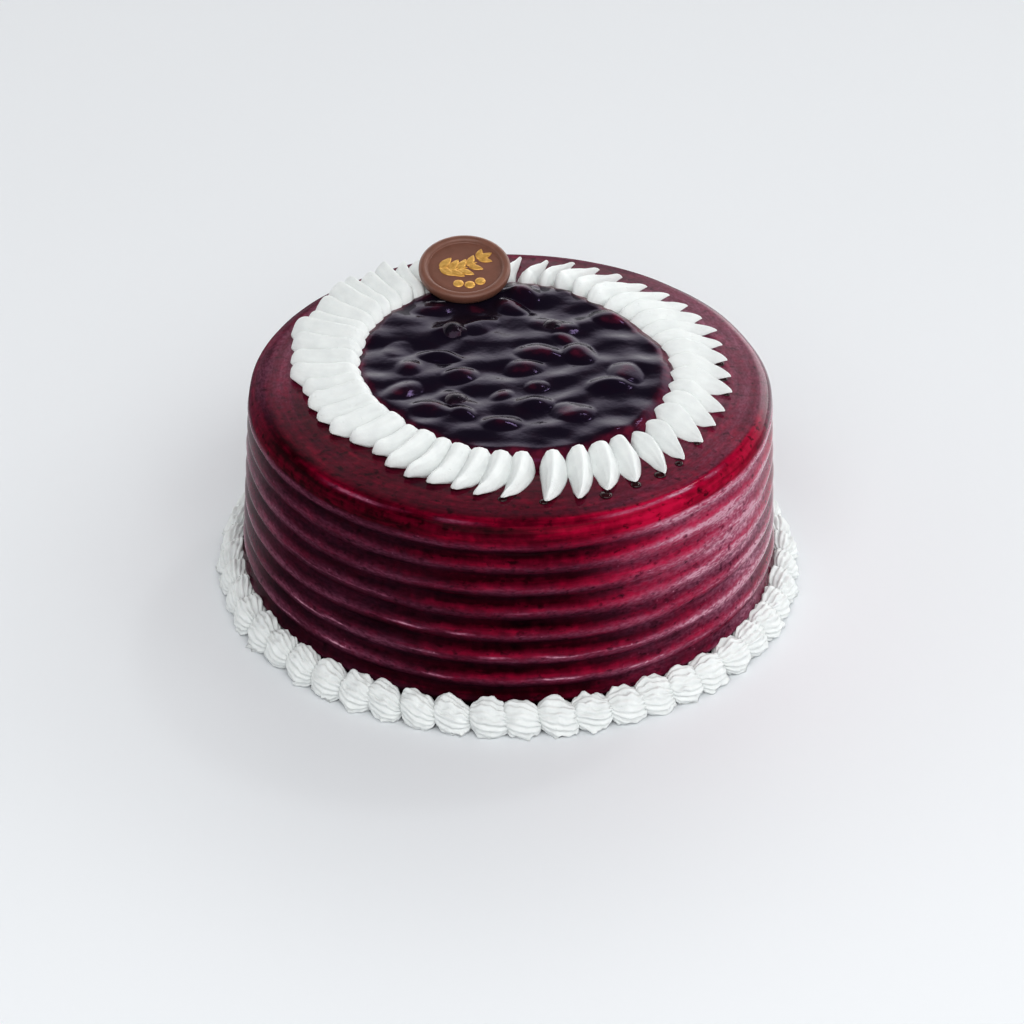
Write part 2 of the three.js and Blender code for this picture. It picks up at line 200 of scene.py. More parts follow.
# Cream petals
PETAL_COUNT = 50
PETAL_BASE = CAKE_HEIGHT - 0.4
PETAL_END_TOLERANCE = 0.5
PETAL_HEAD_LENGTH = 0.26
PETAL_POINT_LENGTH = 0.45
PETAL_POINT_CURVE = 0.7
PETAL_CROWN = 0.16  # share of the length at which the keel starts to fall
PETAL_KEEL_FALL = 1.25
PETAL_KEEL_HEAD = 0.8
PETAL_SHARP_FADE = (0.05, 0.45)
PETAL_KEEL_SOFT = 0.07
PETAL_FLANK = 1.15  # exponent of a keen flank
PETAL_ROUND = (2.4, 0.7)  # exponents of a round back
PETAL_RIDGE = 0.025
PETAL_RIDGES = 5
PETAL_LEAN = (-0.09, 0.09)
PETAL_BOW = (0.6, 1.8)
PETAL_UNEVEN = {"height": (0.92, 1.08), "tail_height": (0.8, 1.2), "width": (0.88, 1.12)}
PETAL_TIP_LIFT = 1.4
PETAL_TIP_FADE = (0.75, 1)
PETAL_ROUGH = ((0.16, 5, 0),)  # seed counted from the petal's own
PETAL_STATIONS = (0.02, 0.98, 36)
PETAL_ACROSS = 25

# Groups of petals by the azimuth of their tips, and what sets each group apart
LEFT_PETALS = (("azimuth", -4, -25), ("azimuth", -165, -140))
RIGHT_PETALS = (("azimuth", 18, 45), ("azimuth", 150, 125))
BACK_PETALS = (("azimuth", 125, 150),)
FAN_PETALS = (("azimuth", -88, -118), ("azimuth", -179, -165))
INWARD_PETALS = (("azimuth", 98, 116), ("azimuth", 160, 140))
SCALE_PETALS = (("azimuth", -48, -75), ("azimuth", -165, -140))
SIDE_PETALS = (("turn", 15, 60), ("turn", 178, 140))
PETAL_TRAITS = {
    "reach_in": ((3.5, *INWARD_PETALS),),
    "reach_out": ((1.5, *FAN_PETALS),),
    "tail_height": (
        (2.2,), (-0.88, *RIGHT_PETALS), (-0.88, *BACK_PETALS),
        (3.2, *LEFT_PETALS), (3.2, *LEFT_PETALS, *FAN_PETALS),
    ),
    "tail_width": (
        (0.22,), (0.2, *LEFT_PETALS), (-0.14, *BACK_PETALS), (-0.08, *RIGHT_PETALS), (0.2, *FAN_PETALS),
    ),
    "tail_start": ((0.92,), (-0.12, *LEFT_PETALS), (-0.1, *RIGHT_PETALS), (-0.06, *FAN_PETALS)),
    "taper_start": ((0.3,), (-0.2, *BACK_PETALS)),
    "taper": ((1.7,), (-0.6, *BACK_PETALS)),
    "uneven": ((1.2,), (1, *LEFT_PETALS), (0.8, *FAN_PETALS)),
    "sharp": ((0.9,), (-0.45, *LEFT_PETALS), (0.35, *SCALE_PETALS)),
    "blunt": ((1,), (-0.85, *RIGHT_PETALS)),
    "width": ((5.9,), (-1.475, *BACK_PETALS), (0.59, *FAN_PETALS)),
    "keel": ((0.5, *SIDE_PETALS), (0.25, *SCALE_PETALS, *SIDE_PETALS)),
}

# Beads of gel at the petals' tips
DROP_AZIMUTHS = (-8, 100)
DROP_SHARE = 0.75
DROP_TURN = (-1.4, 0.8)  # azimuth from the petal's tip
DROP_OUT = (-2.2, -0.6)  # radius from the petal's tip
DROP_RADIUS = 2.2
DROP_SIZES = (0.6, 1.1)
DROP_HEIGHT = 0.8
DROP_SINK = 0.5
DROP_GEL = 0.2
DROP_RINGS = (0.05, math.pi - 0.05, 10)  # angles of the first and the last from the pole, and count
DROP_COLUMNS = 18

# Berry compote
COMPOTE_BASE = CAKE_HEIGHT
COMPOTE_SINK = 0.3
COMPOTE_TUCK = 5.0
COMPOTE_EDGE_HEIGHT = 3.4
COMPOTE_DEPTH = 5.4
COMPOTE_DEPTH_FADE = (1.0, 0.9)
RELIEF_FADE = (1.0, 0.88)
EDGE_ROUND_START = 0.97  # share of the radius at which the edge turns down
EDGE_ROUND_SHARE = 0.9
THIN_GEL = ((0.9, ("edge", 0.84, 0.95)), (0.55, ("crown", 0.15, 0.85)))
RIPPLE_HEIGHT = 1.1
RIPPLE_SHARE = 0.5  # share of the ripple that shows in the gel's skin
RIPPLE_ACROSS = 46
RIPPLE_ALONG = 21
RIPPLE_BEND = 1.5
RIPPLE_SLANT = 0.33
ROLLS = ((0.95, (24, 14, 1), 6), (0.3, (10, 7, 1), 7))
COMPOTE_RINGS = ((0.01, 0.93, 84), (0.94, 1, 12))  # shares of the radius and count
COMPOTE_COLUMNS = 320

# Berries in the compote
BERRY_RADIUS = 6
BERRY_SIZE = (0.85, 1.15)
BERRY_RISE = 2.5
BERRY_LIFT = (0.5, 1.2)
BERRY_STRETCH = (0.85, 1.35)
BERRY_SKEW = (-0.5, 0.5)
BERRY_ROUND = (0.8, 1.8)
BERRY_PLAIN_SHARE = 0.3  # share of berries without a wine-red crown
SWELL_REACH = 1.2
SMALL_BERRIES = 6
SMALL_BERRY_SIZE = (0.6, 0.9)
SMALL_BERRY_LIFT = (0.25, 0.6)
SMALL_BERRY_REACH = 50
SMALL_BERRY_GAP = 9
SMALL_BERRY_TRIES = 4000
BERRY_PLACES = [
    (4, 53), (16, 29), (-22, 25), (-12, 29), (-27, 7), (-19, -7), (-38, -2),
    (-20, -23), (-3, -39), (5, -1), (10, 10), (26, 10), (37, -12), (23, -31),
    (9, -26), (37, 36), (43, -4), (-40, -18), (-29, -30), (0, 43), (-31, 42),
]
BARE_BERRIES = {1, 2, 7}
BARE_LIFT = 1.15
BARE_COVER = 0.4  # share of the swell that gel makes round a bare berry
BERRY_RINGS = (0.04, math.pi - 0.04, 26)
BERRY_COLUMNS = 40
BERRY_FLATNESS = 0.92
CROWN_ANGLE = 0.34
CROWN_WIDTH = 0.1
CROWN_HEIGHT = 0.09
CROWN_POINT_HEIGHT = 0.05
CROWN_POINTS = 5
CROWN_HOLLOW = 0.14
CROWN_HOLLOW_WIDTH = 0.24
BERRY_TILT = (25, 60)
BERRY_HEADING = (-1.2, 1.2)

# Chocolate medallion
MEDALLION_RADIUS = 17.8
MEDALLION_THICKNESS = 5
MEDALLION_RIM = 3.4
MEDALLION_RECESS = 1.4
MEDALLION_FACE = MEDALLION_THICKNESS - MEDALLION_RECESS
MEDALLION_TILT = 12.5
MEDALLION_LOW_EDGE = (-18.4, 44.5, 4.6)
TOPPING_LEVEL = CAKE_HEIGHT + 0.3
FACE_RADII = (1, 5, 9, 12)
FACE_GROOVE = ((0.9, 0), (0.5, 0.1), (0.1, 0.15))  # distance from the rim and depth
RIM_ARC = (168, 15)
RIM_POINTS = 14
RIM_SHARE = 0.9
RIM_LIFT = 0.1
SIDE_DROP = 0.3
UNDER_EDGE = ((0, 2.4), (0.3, 1.2), (0.9, 0.35), (1.8, 0))  # distance from the side and height
UNDER_RADIUS = 8
MEDALLION_COLUMNS = 128

# Gold sprig on the medallion
SPRIG_STEPS = 5
SPRIG_START = (-9.5, -0.5)
SPRIG_REACH = (14.5, 5.5)
SPRIG_SAG = 3.5
SPRIG_HEADING = 10
SPRIG_BEND = 22
SPRIG_TAPER = 0.2
SPRIG_SINK = 0.05
LEAF_SPREAD = 45
LEAF_SIZE = (7.4, 3.9)
LEAF_HEIGHT = 0.45
LEAF_FULLNESS = 0.8
LEAF_ROUND = 0.4
LEAF_STATIONS = (0.02, 0.98, 15)
LEAF_RIB = 0.12
LEAF_RIB_WIDTH = 0.16
LEAF_COLUMNS = 11
STEM_OFFSET = (-0.6, -0.2)
STEM_SIZE = (4.6, 1.2)
END_LEAF = (5.2, 5, 34, 6.4, 3.4)  # place, heading, length and width
DOT_PLACES = ((-2.2, -9.0), (2.2, -9.6), (6.2, -7.6))
DOT_RADIUS = 2.1
DOT_HEIGHT = 0.6
DOT_RINGS = (0.08, math.pi / 2, 8)
DOT_COLUMNS = 24

# Cream shell border
SHELL_COUNT = 52
SHELL_STATIONS = (0.03, 0.97, 22)
SHELL_RIDGES = 16
SHELL_RIDGE_POINTS = 5
SHELL_SLANT = (2, 14)
SHELL_TWIST = (4, 28)
SHELL_ROLL = (-0.26, 0.26)
SHELL_LEAN = 38
SHELL_MIDDLE_RADIUS = 105.9
SHELL_MIDDLE_HEIGHT = 5.2
SHELL_LENGTH = 15.8
SHELL_GIRTH = 8.3
SHELL_THICKNESS = 5.9
SHELL_SIZE = (1, 0.88)
SHELL_PLACE = (0.39, 0.51)  # share of the pitch at which the middle of a shell lies
SHELL_CAP = 0.8  # share of the half length at which the end rounds off
SHELL_NECK = 0.36
SHELL_SQUARE = 2.3
SHELL_GROOVE = 0.22
SHELL_END_GROOVE = 0.5
SHELL_END_FADE = (0.7, 1)
SHELL_LUMPS = 6
SHELL_LUMP_SIZE = (0.6, 1.2)
SHELL_LOBE_CURVE = 0.8
SHELL_TOOTH = 1.2
SHELL_TOOTH_MEAN = 0.5
SHELL_TAIL_FADE = (0.6, 1)
SHELL_FOOT_MEAN = 0.4
SHELL_FOOT_FADE = (4, 0)
SHELL_ROUGH = ((0.38, 2.6, 0), (0.28, 1.3, 1))  # seeds counted from the shell's own
SHELL_SPIKES = ((3, (2.4, 2.4, 9), 2),)
SHELL_SPIKE_FADE = (4.5, 0.5)
SHELL_KNOBS = ((1.8, (3.2, 3.2, 6), 3),)
SHELL_KNOB_FADE = (3, 8)

# Noise
NOISE_SEEDS = (1, 50)
NOISE_STEP = np.array([3.7, 8.1, 5.3])  # how far one seed's noise lies from the next

# Linear colours along each material's ramp
# Gel: from black, where it pools and shade is painted, to crimson, where it thins and light is painted
GEL_AND_SHADING_COLOURS = (
    (0.0, (0.004, 0.0001, 0.0008)),
    (0.25, (0.026, 0.0002, 0.0032)),
    (0.5, (0.10, 0.0004, 0.0115)),
    (0.75, (0.25, 0.0008, 0.024)),
    (1.0, (0.46, 0.004, 0.05)),
)
# Hazy mauve with painted sheen, up to the pale pink of painted highlights
HAZE_AND_SHEEN_COLOURS = (
    (0.1, (0.32, 0.06, 0.155)),
    (0.3, (0.36, 0.105, 0.195)),
    (0.6, (0.40, 0.15, 0.235)),
    (1.0, (0.54, 0.29, 0.365)),
)
CREAM_COLOURS = ((0.3, (0.755, 0.78, 0.775)), (0.7, (0.82, 0.845, 0.835)))
COMPOTE_COLOURS = (
    (0.0, (0.008, 0.005, 0.012)),
    (0.45, (0.012, 0.004, 0.011)),
    (0.75, (0.05, 0.006, 0.017)),
    (1.0, (0.12, 0.012, 0.03)),
)
BERRY_COLOURS = (
    (0.35, (0.004, 0.003, 0.006)),
    (0.6, (0.012, 0.003, 0.008)),
    (0.75, (0.05, 0.004, 0.012)),
)
CHOCOLATE_COLOURS = ((0.3, (0.175, 0.074, 0.049)), (0.7, (0.215, 0.092, 0.062)))
GOLD_COLOURS = ((0.3, (0.62, 0.34, 0.08)), (0.7, (0.86, 0.55, 0.17)))
FLOOR_COLOURS = ((0.3, (0.80, 0.82, 0.84)), (0.7, (0.82, 0.84, 0.86)))
ROOM_COLOURS = (
    (0.1, (0.3, 0.3, 0.304)),
    (0.32, (0.58, 0.58, 0.585)),
    (0.7, (0.72, 0.72, 0.725)),
    (0.8, (0.9, 0.9, 0.905)),
    (0.90, (1.25, 1.25, 1.25)),
)
NOISE_RANGE = (0.3, 0.7)  # most of a noise texture's values
WET_SOCKETS = ("Normal", "Coat Normal")  # where a wet skin takes its relief

# Camera, from the photograph's perspective
CAMERA_ELEVATION = 34.1
CAMERA_DISTANCE = 1500
CAMERA_TARGET = (1.1, 0, 24.2)
CAMERA_ROLL = -0.7
FOCAL_PIXELS = 3903
IMAGE_PIXELS = 1024
SENSOR_WIDTH = 36

# Studio: lights with their place and size in metres and their power in watts
LIGHTS = {
    "key": ((1.1, -0.45, 1.5), 0.8, 3),
    "front": ((0.05, -1.3, 1.65), 2.0, 29),
    "window": ((0.7, 0.96, 1.6), 0.18, 2),
}
LIGHT_AIM = (0, 0, 0.05)
FLOOR_REACH = 4000
FLOOR_LEVEL = -0.2
BRIGHT_SIDE = (0.4, 0.9, -0.15)
CEILING_EDGE = (0.48, 0.68)
ROOM_STRENGTH = 1.95
CEILING_STRENGTH = 0.3
VIEW_GAMMA = 0.85


# Geometry helpers

def rise(low, high, value):
    """Smooth step from 0 at low to 1 at high."""
    share = np.clip((value - low) / (high - low), 0, 1)
    return share * share * (3 - 2 * share)


def fade(spots, stretches):
    """Product of smooth steps along the named coordinates of some spots."""
    return math.prod(rise(low, high, getattr(spots, name)) for name, low, high in stretches)


def total(spots, rows):
    """Sum of amounts, each limited to its own stretches."""
    return sum(amount * fade(spots, stretches) for amount, *stretches in rows)


def product(spots, tables):
    """Product of such sums."""
    return math.prod(total(spots, rows) for rows in tables)


def polar(radius, azimuth):
    """Plan position at a radius and an azimuth in degrees."""
    angle = np.radians(azimuth)
    return radius * np.sin(angle), -radius * np.cos(angle)


def noise_at(points, wavelength, seed):
    """Smooth noise, about -1 to 1, at each point; the wavelength is one size or one for each axis."""
    places = points / np.asarray(wavelength) + NOISE_STEP * seed
    return np.array([noise.noise(place) for place in places.tolist()])


def rough(points, rows, seed=0):
    """Sum of noises, each given by its height, wavelength and seed."""
    return sum(height * noise_at(points, wave, seed + own_seed) for height, wave, own_seed in rows)


def eased(stations):
    """Places from 0 to 1 that crowd towards both ends, by the first, the last and the count."""
    return 0.5 - 0.5 * np.cos(np.pi * np.linspace(*stations))


def even_azimuths(count):
    """Azimuths in degrees of columns that stand evenly round the cake."""
    return np.arange(count) * 360 / count


def turned(profile, columns):
    """Rings of points made by turning a profile of radii and heights round the upright axis."""
    x, y = polar(profile[:, 0, None], even_azimuths(columns)[None, :])
    z = np.repeat(profile[:, 1, None], columns, axis=1)
    return np.stack([x, y, z], axis=2)


def ball_rings(angles, columns, radius, height):
    """Rings of a round bead about its middle, at the given angles from its pole."""
    angle = angles[:, None]
    turn = np.radians(even_azimuths(columns))
    return np.stack([
        radius * np.sin(angle) * np.cos(turn),
        radius * np.sin(angle) * np.sin(turn),
        height * np.cos(angle) + 0 * turn,
    ], axis=2)


def closed_rings(rings):
    """Points and faces of a closed skin over rings of equal size, with a pole at each end."""
    rows, columns, _ = rings.shape
    points = np.vstack([rings.reshape(-1, 3), rings[0].mean(0), rings[-1].mean(0)])
    first_pole = rows * columns
    last = first_pole - columns
    edges = [(column, (column + 1) % columns) for column in range(columns)]
    faces = []
    for low in range(0, last, columns):
        high = low + columns
        faces += [(low + left, low + right, high + right, high + left) for left, right in edges]
    for left, right in edges:
        faces.append((first_pole, right, left))
        faces.append((first_pole + 1, last + left, last + right))
    return points, faces


def join(parts):
    """Points and faces of several skins as one."""
    points = []
    faces = []
    start = 0
    for part_points, part_faces in parts:
        points.append(part_points)
        faces.extend(tuple(start + corner for corner in face) for face in part_faces)
        start += len(part_points)
    return np.vstack(points), faces


def add_values(mesh, values):
    """Named numbers or vectors at the points of a mesh, for its material to read."""
    for key, numbers in values.items():
        numbers = np.asarray(numbers, dtype=np.float32)
        kind, field = ("FLOAT_VECTOR", "vector") if numbers.ndim > 1 else ("FLOAT", "value")
        layer = mesh.attributes.new(key, kind, "POINT")
        layer.data.foreach_set(field, numbers.ravel())


def add_object(name, data):
    """An object of the scene that holds a mesh, a light or a camera."""
    thing = bpy.data.objects.new(name, data)
    bpy.context.scene.collection.objects.link(thing)
    return thing


def make_piece(name, skin, material, nodes=(), values=None):
    """A smooth mesh piece that rides on the cake and stands for CAD nodes."""
    points, faces = skin
    mesh = bpy.data.meshes.new(name)
    mesh.from_pydata((points * MM).tolist(), [], faces)
    work = bmesh.new()
    work.from_mesh(mesh)
    bmesh.ops.recalc_face_normals(work, faces=work.faces)
    work.to_mesh(mesh)
    work.free()
    mesh.polygons.foreach_set("use_smooth", [True] * len(mesh.polygons))
    add_values(mesh, values or {})
    mesh.materials.append(material)
    piece = add_object(name, mesh)
    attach(piece, BODY)
    if nodes:
        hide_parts(*nodes)


# Material helpers

def new_material(name, **settings):
    """A material, its node tree and its shader with some values set; an underscore stands for a space."""
    material = bpy.data.materials.new(name)
    material.use_nodes = True
    tree = material.node_tree
    shader = tree.nodes["Principled BSDF"]
    for key, value in settings.items():
        shader.inputs[key.replace("_", " ")].default_value = value
    return material, tree, shader


def add_node(tree, kind, **values):
    """A shader node with its settings and input values; an underscore stands for a space."""
    node = tree.nodes.new(kind)
    for key, value in values.items():
        socket = node.inputs.get(key.replace("_", " "))
        if socket is None:
            setattr(node, key, value)
        else:
            socket.default_value = value
    return node


def object_place(tree):
    """Position on the piece, in metres."""
    return add_node(tree, "ShaderNodeTexCoord").outputs["Object"]


def read_value(tree, name, output="Fac"):
    """A number or a vector that the mesh carries at its points."""
    return add_node(tree, "ShaderNodeAttribute", attribute_name=name).outputs[output]


def noise_texture(tree, size, detail=3.0, stretch=None, place=None):
    """Noise whose blotches are about size millimetres across, shrunk along the axes by stretch."""
    place = place or object_place(tree)
    if stretch:
        mapping = add_node(tree, "ShaderNodeMapping", Scale=stretch)
        tree.links.new(place, mapping.inputs["Vector"])
        place = mapping.outputs["Vector"]
    texture = add_node(tree, "ShaderNodeTexNoise", Scale=1 / (size * MM), Detail=detail)
    tree.links.new(place, texture.inputs["Vector"])
    return texture.outputs["Fac"]


def math_node(tree, operation, first, second):
    """Result of an operation on two sockets or numbers."""
    node = add_node(tree, "ShaderNodeMath", operation=operation)
    for socket, value in zip(node.inputs, (first, second)):
        if isinstance(value, (int, float)):
            socket.default_value = value
        else:
            tree.links.new(value, socket)
    return node.outputs[0]


def map_range(tree, value, source, target):
    """A socket's value moved from one range to another."""
    node = add_node(
        tree, "ShaderNodeMapRange",
        From_Min=source[0], From_Max=source[1], To_Min=target[0], To_Max=target[1],
    )
    tree.links.new(value, node.inputs["Value"])
    return node.outputs["Result"]


def colour_ramp(tree, factor, stops):
    """Colour along a row of (position, linear colour) stops."""
    node = add_node(tree, "ShaderNodeValToRGB")
    elements = node.color_ramp.elements
    while len(elements) < len(stops):
        elements.new(1.0)
    for element, (position, colour) in zip(elements, stops):
        element.position = position
        element.color = (*colour, 1)
    tree.links.new(factor, node.inputs["Fac"])
    return node.outputs["Color"]


def mix_colours(tree, factor, first, second):
    """Blend from one colour socket to another."""
    node = add_node(tree, "ShaderNodeMixRGB")
    tree.links.new(factor, node.inputs["Fac"])
    tree.links.new(first, node.inputs["Color1"])
    tree.links.new(second, node.inputs["Color2"])
    return node.outputs["Color"]


def mottle(tree, shader, factor, stops):
    """Base colour that varies along a ramp."""
    tree.links.new(colour_ramp(tree, factor, stops), shader.inputs["Base Color"])


def add_bump(tree, shader, height, depth, sockets=("Normal",)):
    """Relief of a depth in millimetres from a height between 0 and 1."""
    bump = add_node(tree, "ShaderNodeBump", Strength=1.0, Distance=depth * MM)
    tree.links.new(height, bump.inputs["Height"])
    for socket in sockets:
        tree.links.new(bump.outputs["Normal"], shader.inputs[socket])


# Materials

def specks(tree, size, reach, share):
    """1 inside scattered round specks, 0 elsewhere."""
    texture = add_node(tree, "ShaderNodeTexVoronoi", Scale=1 / (size * MM))
    tree.links.new(object_place(tree), texture.inputs["Vector"])
    spot = map_range(tree, texture.outputs["Distance"], (reach, reach / 2), (0, 1))
    channel = add_node(tree, "ShaderNodeSeparateColor")
    tree.links.new(texture.outputs["Color"], channel.inputs["Color"])
    chosen = math_node(tree, "LESS_THAN", channel.outputs["Red"], share)
    return math_node(tree, "MULTIPLY", spot, chosen)


def gel_thinness_and_shading(tree, course, dark):
    """How thin the gel lies, with painted shade and light, blotches, streaks along the cake and dark flecks.
    """
    blotch = map_range(tree, noise_texture(tree, size=3.5, detail=4), (0, 1), (-0.25, 0.25))
    streaks = noise_texture(tree, size=4, detail=5, stretch=(0.25, 0.25, 2.2), place=course)
    streak = map_range(tree, streaks, (0, 1), (-0.24, 0.24))
    thin = math_node(tree, "ADD", math_node(tree, "ADD", read_value(tree, "gel"), blotch), streak)
    return math_node(tree, "MULTIPLY", thin, dark)


def haze_and_sheen_veil(tree, course, dark):
    """How far the hazy skin and its painted sheen cover the gel, in patches and grains along the cake, with
    painted glints as bright specks.
    """
    patches = noise_texture(tree, size=8, detail=5, stretch=(0.3, 0.3, 2.4), place=course)
    patch = map_range(tree, patches, (0.38, 0.62), (0.7, 1.15))
    grains = noise_texture(tree, size=1.2, detail=2, stretch=(0.6, 0.6, 1.4), place=course)
    grain = map_range(tree, grains, (0.35, 0.65), (0.7, 1.25))
    # Painted glints: bright specks on the hazy skin
    sparkle = map_range(tree, specks(tree, size=3, reach=0.16, share=0.25), (0, 1), (0, 0.8))
    veil = math_node(tree, "MULTIPLY", read_value(tree, "haze_and_sheen"), math_node(tree, "ADD", patch, sparkle))
    return math_node(tree, "MULTIPLY", veil, math_node(tree, "MULTIPLY", dark, grain))


def glaze_material():
    """Clear berry gel: black where it lies thick and where shade is painted, crimson where it thins and
    where light is painted, mauve where its skin is hazy and carries a painted sheen of reflections.
    """
    material, tree, shader = new_material(
        "berry_glaze", Roughness=0.5, Specular_IOR_Level=0.0, Coat_Roughness=0.035, Coat_IOR=1.45,
    )
    course = read_value(tree, "course", "Vector")
    flecks = noise_texture(tree, size=2.5, detail=4, stretch=(0.75, 0.75, 1.2))
    dark = map_range(tree, flecks, (0.58, 0.75), (1.0, 0.4))
    crimson = colour_ramp(tree, gel_thinness_and_shading(tree, course, dark), GEL_AND_SHADING_COLOURS)
    veil = haze_and_sheen_veil(tree, course, dark)
    mauve = colour_ramp(tree, veil, HAZE_AND_SHEEN_COLOURS)
    tree.links.new(mix_colours(tree, veil, crimson, mauve), shader.inputs["Base Color"])
    tree.links.new(read_value(tree, "wet"), shader.inputs["Coat Weight"])
    add_bump(tree, shader, noise_texture(tree, size=2.5, detail=4), 0.04, WET_SOCKETS)
    return material


def cream_material():
    """Whipped cream: soft matt white with fine pores."""
    material, tree, shader = new_material(
        "piped_cream", Roughness=0.55, Specular_IOR_Level=0.3,
        Subsurface_Weight=0.1, Subsurface_Radius=(1.0, 0.95, 0.9), Subsurface_Scale=0.003,
    )
    mottle(tree, shader, noise_texture(tree, size=6), CREAM_COLOURS)
    grain = noise_texture(tree, size=0.9, detail=2)
    pores = math_node(tree, "MULTIPLY", specks(tree, size=2.2, reach=0.2, share=0.25), -1.0)
    add_bump(tree, shader, math_node(tree, "ADD", grain, pores), 0.1)
    return material


def compote_material():
    """Dark berry gel with a violet gloss, wine red where it thins at the rim and over the berries."""
    material, tree, shader = new_material(
        "berry_gel", Roughness=0.13, Specular_IOR_Level=0.18, Specular_Tint=(0.6, 0.35, 1.0, 1.0),
    )
    blotch = map_range(tree, noise_texture(tree, size=6, detail=3), (0.35, 0.7), (-0.2, 0.25))
    mottle(tree, shader, math_node(tree, "ADD", read_value(tree, "thin"), blotch), COMPOTE_COLOURS)
    add_bump(tree, shader, noise_texture(tree, size=3, detail=2), 0.1)
    return material


def blotchy_material(name, colours, blotch, gloss=None, bump=None, **settings):
    """A material of blotchy colour, with blotchy gloss and fine relief where they are given."""
    material, tree, shader = new_material(name, **settings)
    mottle(tree, shader, noise_texture(tree, *blotch), colours)
    if gloss:
        size, limits = gloss
        roughness = map_range(tree, noise_texture(tree, size), NOISE_RANGE, limits)
        tree.links.new(roughness, shader.inputs["Roughness"])
    if bump:
        size, detail, *relief = bump
        add_bump(tree, shader, noise_texture(tree, size, detail), *relief)
    return material


def berry_material():
    """Blue-black berry skin, wet with gel, with wine-red patches."""
    return blotchy_material(
        "berry_skin", BERRY_COLOURS, blotch=(5, 3), gloss=(2, (0.2, 0.4)), bump=(2.2, 3, 0.35, WET_SOCKETS),
        Specular_IOR_Level=0.2, Specular_Tint=(0.7, 0.4, 0.9, 1.0), Coat_Weight=0.25, Coat_Roughness=0.04,
    )


def chocolate_material():
    """Milk chocolate with a soft moulded sheen."""
    return blotchy_material(
        "milk_chocolate", CHOCOLATE_COLOURS, blotch=(5, 4), gloss=(2, (0.36, 0.5)), bump=(0.8, 3, 0.04),
        Coat_Weight=0.2, Coat_Roughness=0.2,
    )


def gold_material():
    """Gold lustre brushed on chocolate."""
    return blotchy_material(
        "gold_lustre", GOLD_COLOURS, blotch=(1.5, 4), gloss=(0.8, (0.32, 0.5)), bump=(0.5, 2, 0.03),
        Metallic=0.55,
    )


def floor_material():
    """Plain pale studio floor."""
    return blotchy_material("pale_floor", FLOOR_COLOURS, blotch=(400, 1), Roughness=0.6)


# Cake body

def side_profile():
    """Radius and height of each row, from the top of the cake down to its underside."""
    shoulder_height = CAKE_HEIGHT - SHOULDER_RADIUS
    top_radii = [*TOP_HIDDEN_RADII, *np.linspace(TOP_VISIBLE_RADIUS, SHOULDER_START, TOP_ROWS)]
    rows = [(radius, CAKE_HEIGHT) for radius in top_radii]
    for angle in np.linspace(math.pi / 2, 0, SHOULDER_ROWS)[1:]:
        rows.append((
            SHOULDER_START + SHOULDER_RADIUS * math.cos(angle),
            shoulder_height + SHOULDER_RADIUS * math.sin(angle),
        ))
    rows.append((SIDE_RADIUS - SHOULDER_GROOVE, (TOP_CREST_HEIGHT + shoulder_height) / 2))
    for step in range((CREST_COUNT - 1) * FLUTE_ROWS + 1):
        height = TOP_CREST_HEIGHT - CREST_PITCH * step / FLUTE_ROWS
        rows.append((SIDE_RADIUS + SIDE_TAPER * (TOP_CREST_HEIGHT - height), height))
    rows += [(FOOT_RADIUS, height) for height in (FOOT_HEIGHT, FOOT_HEIGHT / 2, 0)]
    rows += [(FOOT_RADIUS * share, 0) for share in UNDERSIDE_SHARES]
    return np.array(rows)


def glaze_course(x, y, z):
    """Where each point lies along its circle round the cake, and how far out over the top and down."""
    angle = np.arctan2(x, -y)
    level = np.hypot(x, y) - z
    return np.stack([SIDE_RADIUS * np.sin(angle), SIDE_RADIUS * np.cos(angle), level], axis=1)


def shoulder_share(spots):
    """How far each point belongs to the clear gel of the shoulder, brightened by painted light, a narrower
    band on the right.
    """
    right = fade(spots, RIGHT)
    inner, outer = (
        SHOULDER_START + edge + shift * right for edge, shift in zip(CLEAR_EDGE, CLEAR_EDGE_RIGHT)
    )
    return rise(inner, outer, spots.radius) * (spots.z > TOP_CREST_HEIGHT)


def read_spots(points):
    """Coordinates of the body's points, and where they lie on the flutes and on the shoulder."""
    x, y, z = points.T
    azimuth = np.degrees(np.arctan2(x, -y))
    on_side = z <= TOP_CREST_HEIGHT
    phase = np.where(on_side, (TOP_CREST_HEIGHT - z) / CREST_PITCH, 0)
    spots = SimpleNamespace(
        points=points, x=x, y=y, z=z, radius=np.hypot(x, y), azimuth=azimuth, turn=np.abs(azimuth),
        course=glaze_course(x, y, z), on_side=on_side,
        phase=phase, place=(phase + rough(points, RAGGED)) % 1,
    )
    spots.on_shoulder = shoulder_share(spots)
    return spots


def flute_depth(spots):
    """How far each point lies behind the crests: rounded crests with a sharp crease between them."""
    place = spots.phase % 1
    under = (place - CREST_PLACE) / (CREASE_PLACE - CREST_PLACE)
    over = ((CREST_PLACE - place) % 1) / (1 + CREST_PLACE - CREASE_PLACE)
    is_under = (under > 0) & (under < 1)
    share = np.where(is_under, np.clip(under, 0, 1) ** 2, np.clip(over, 0, 1) ** FACE_CURVE)
    depth = FLUTE_DEPTH * (1 + rough(spots.points, FLUTE_UNEVEN))
    return depth * (1 - SMEAR_SHARE * fade(spots, SMEAR)) * share


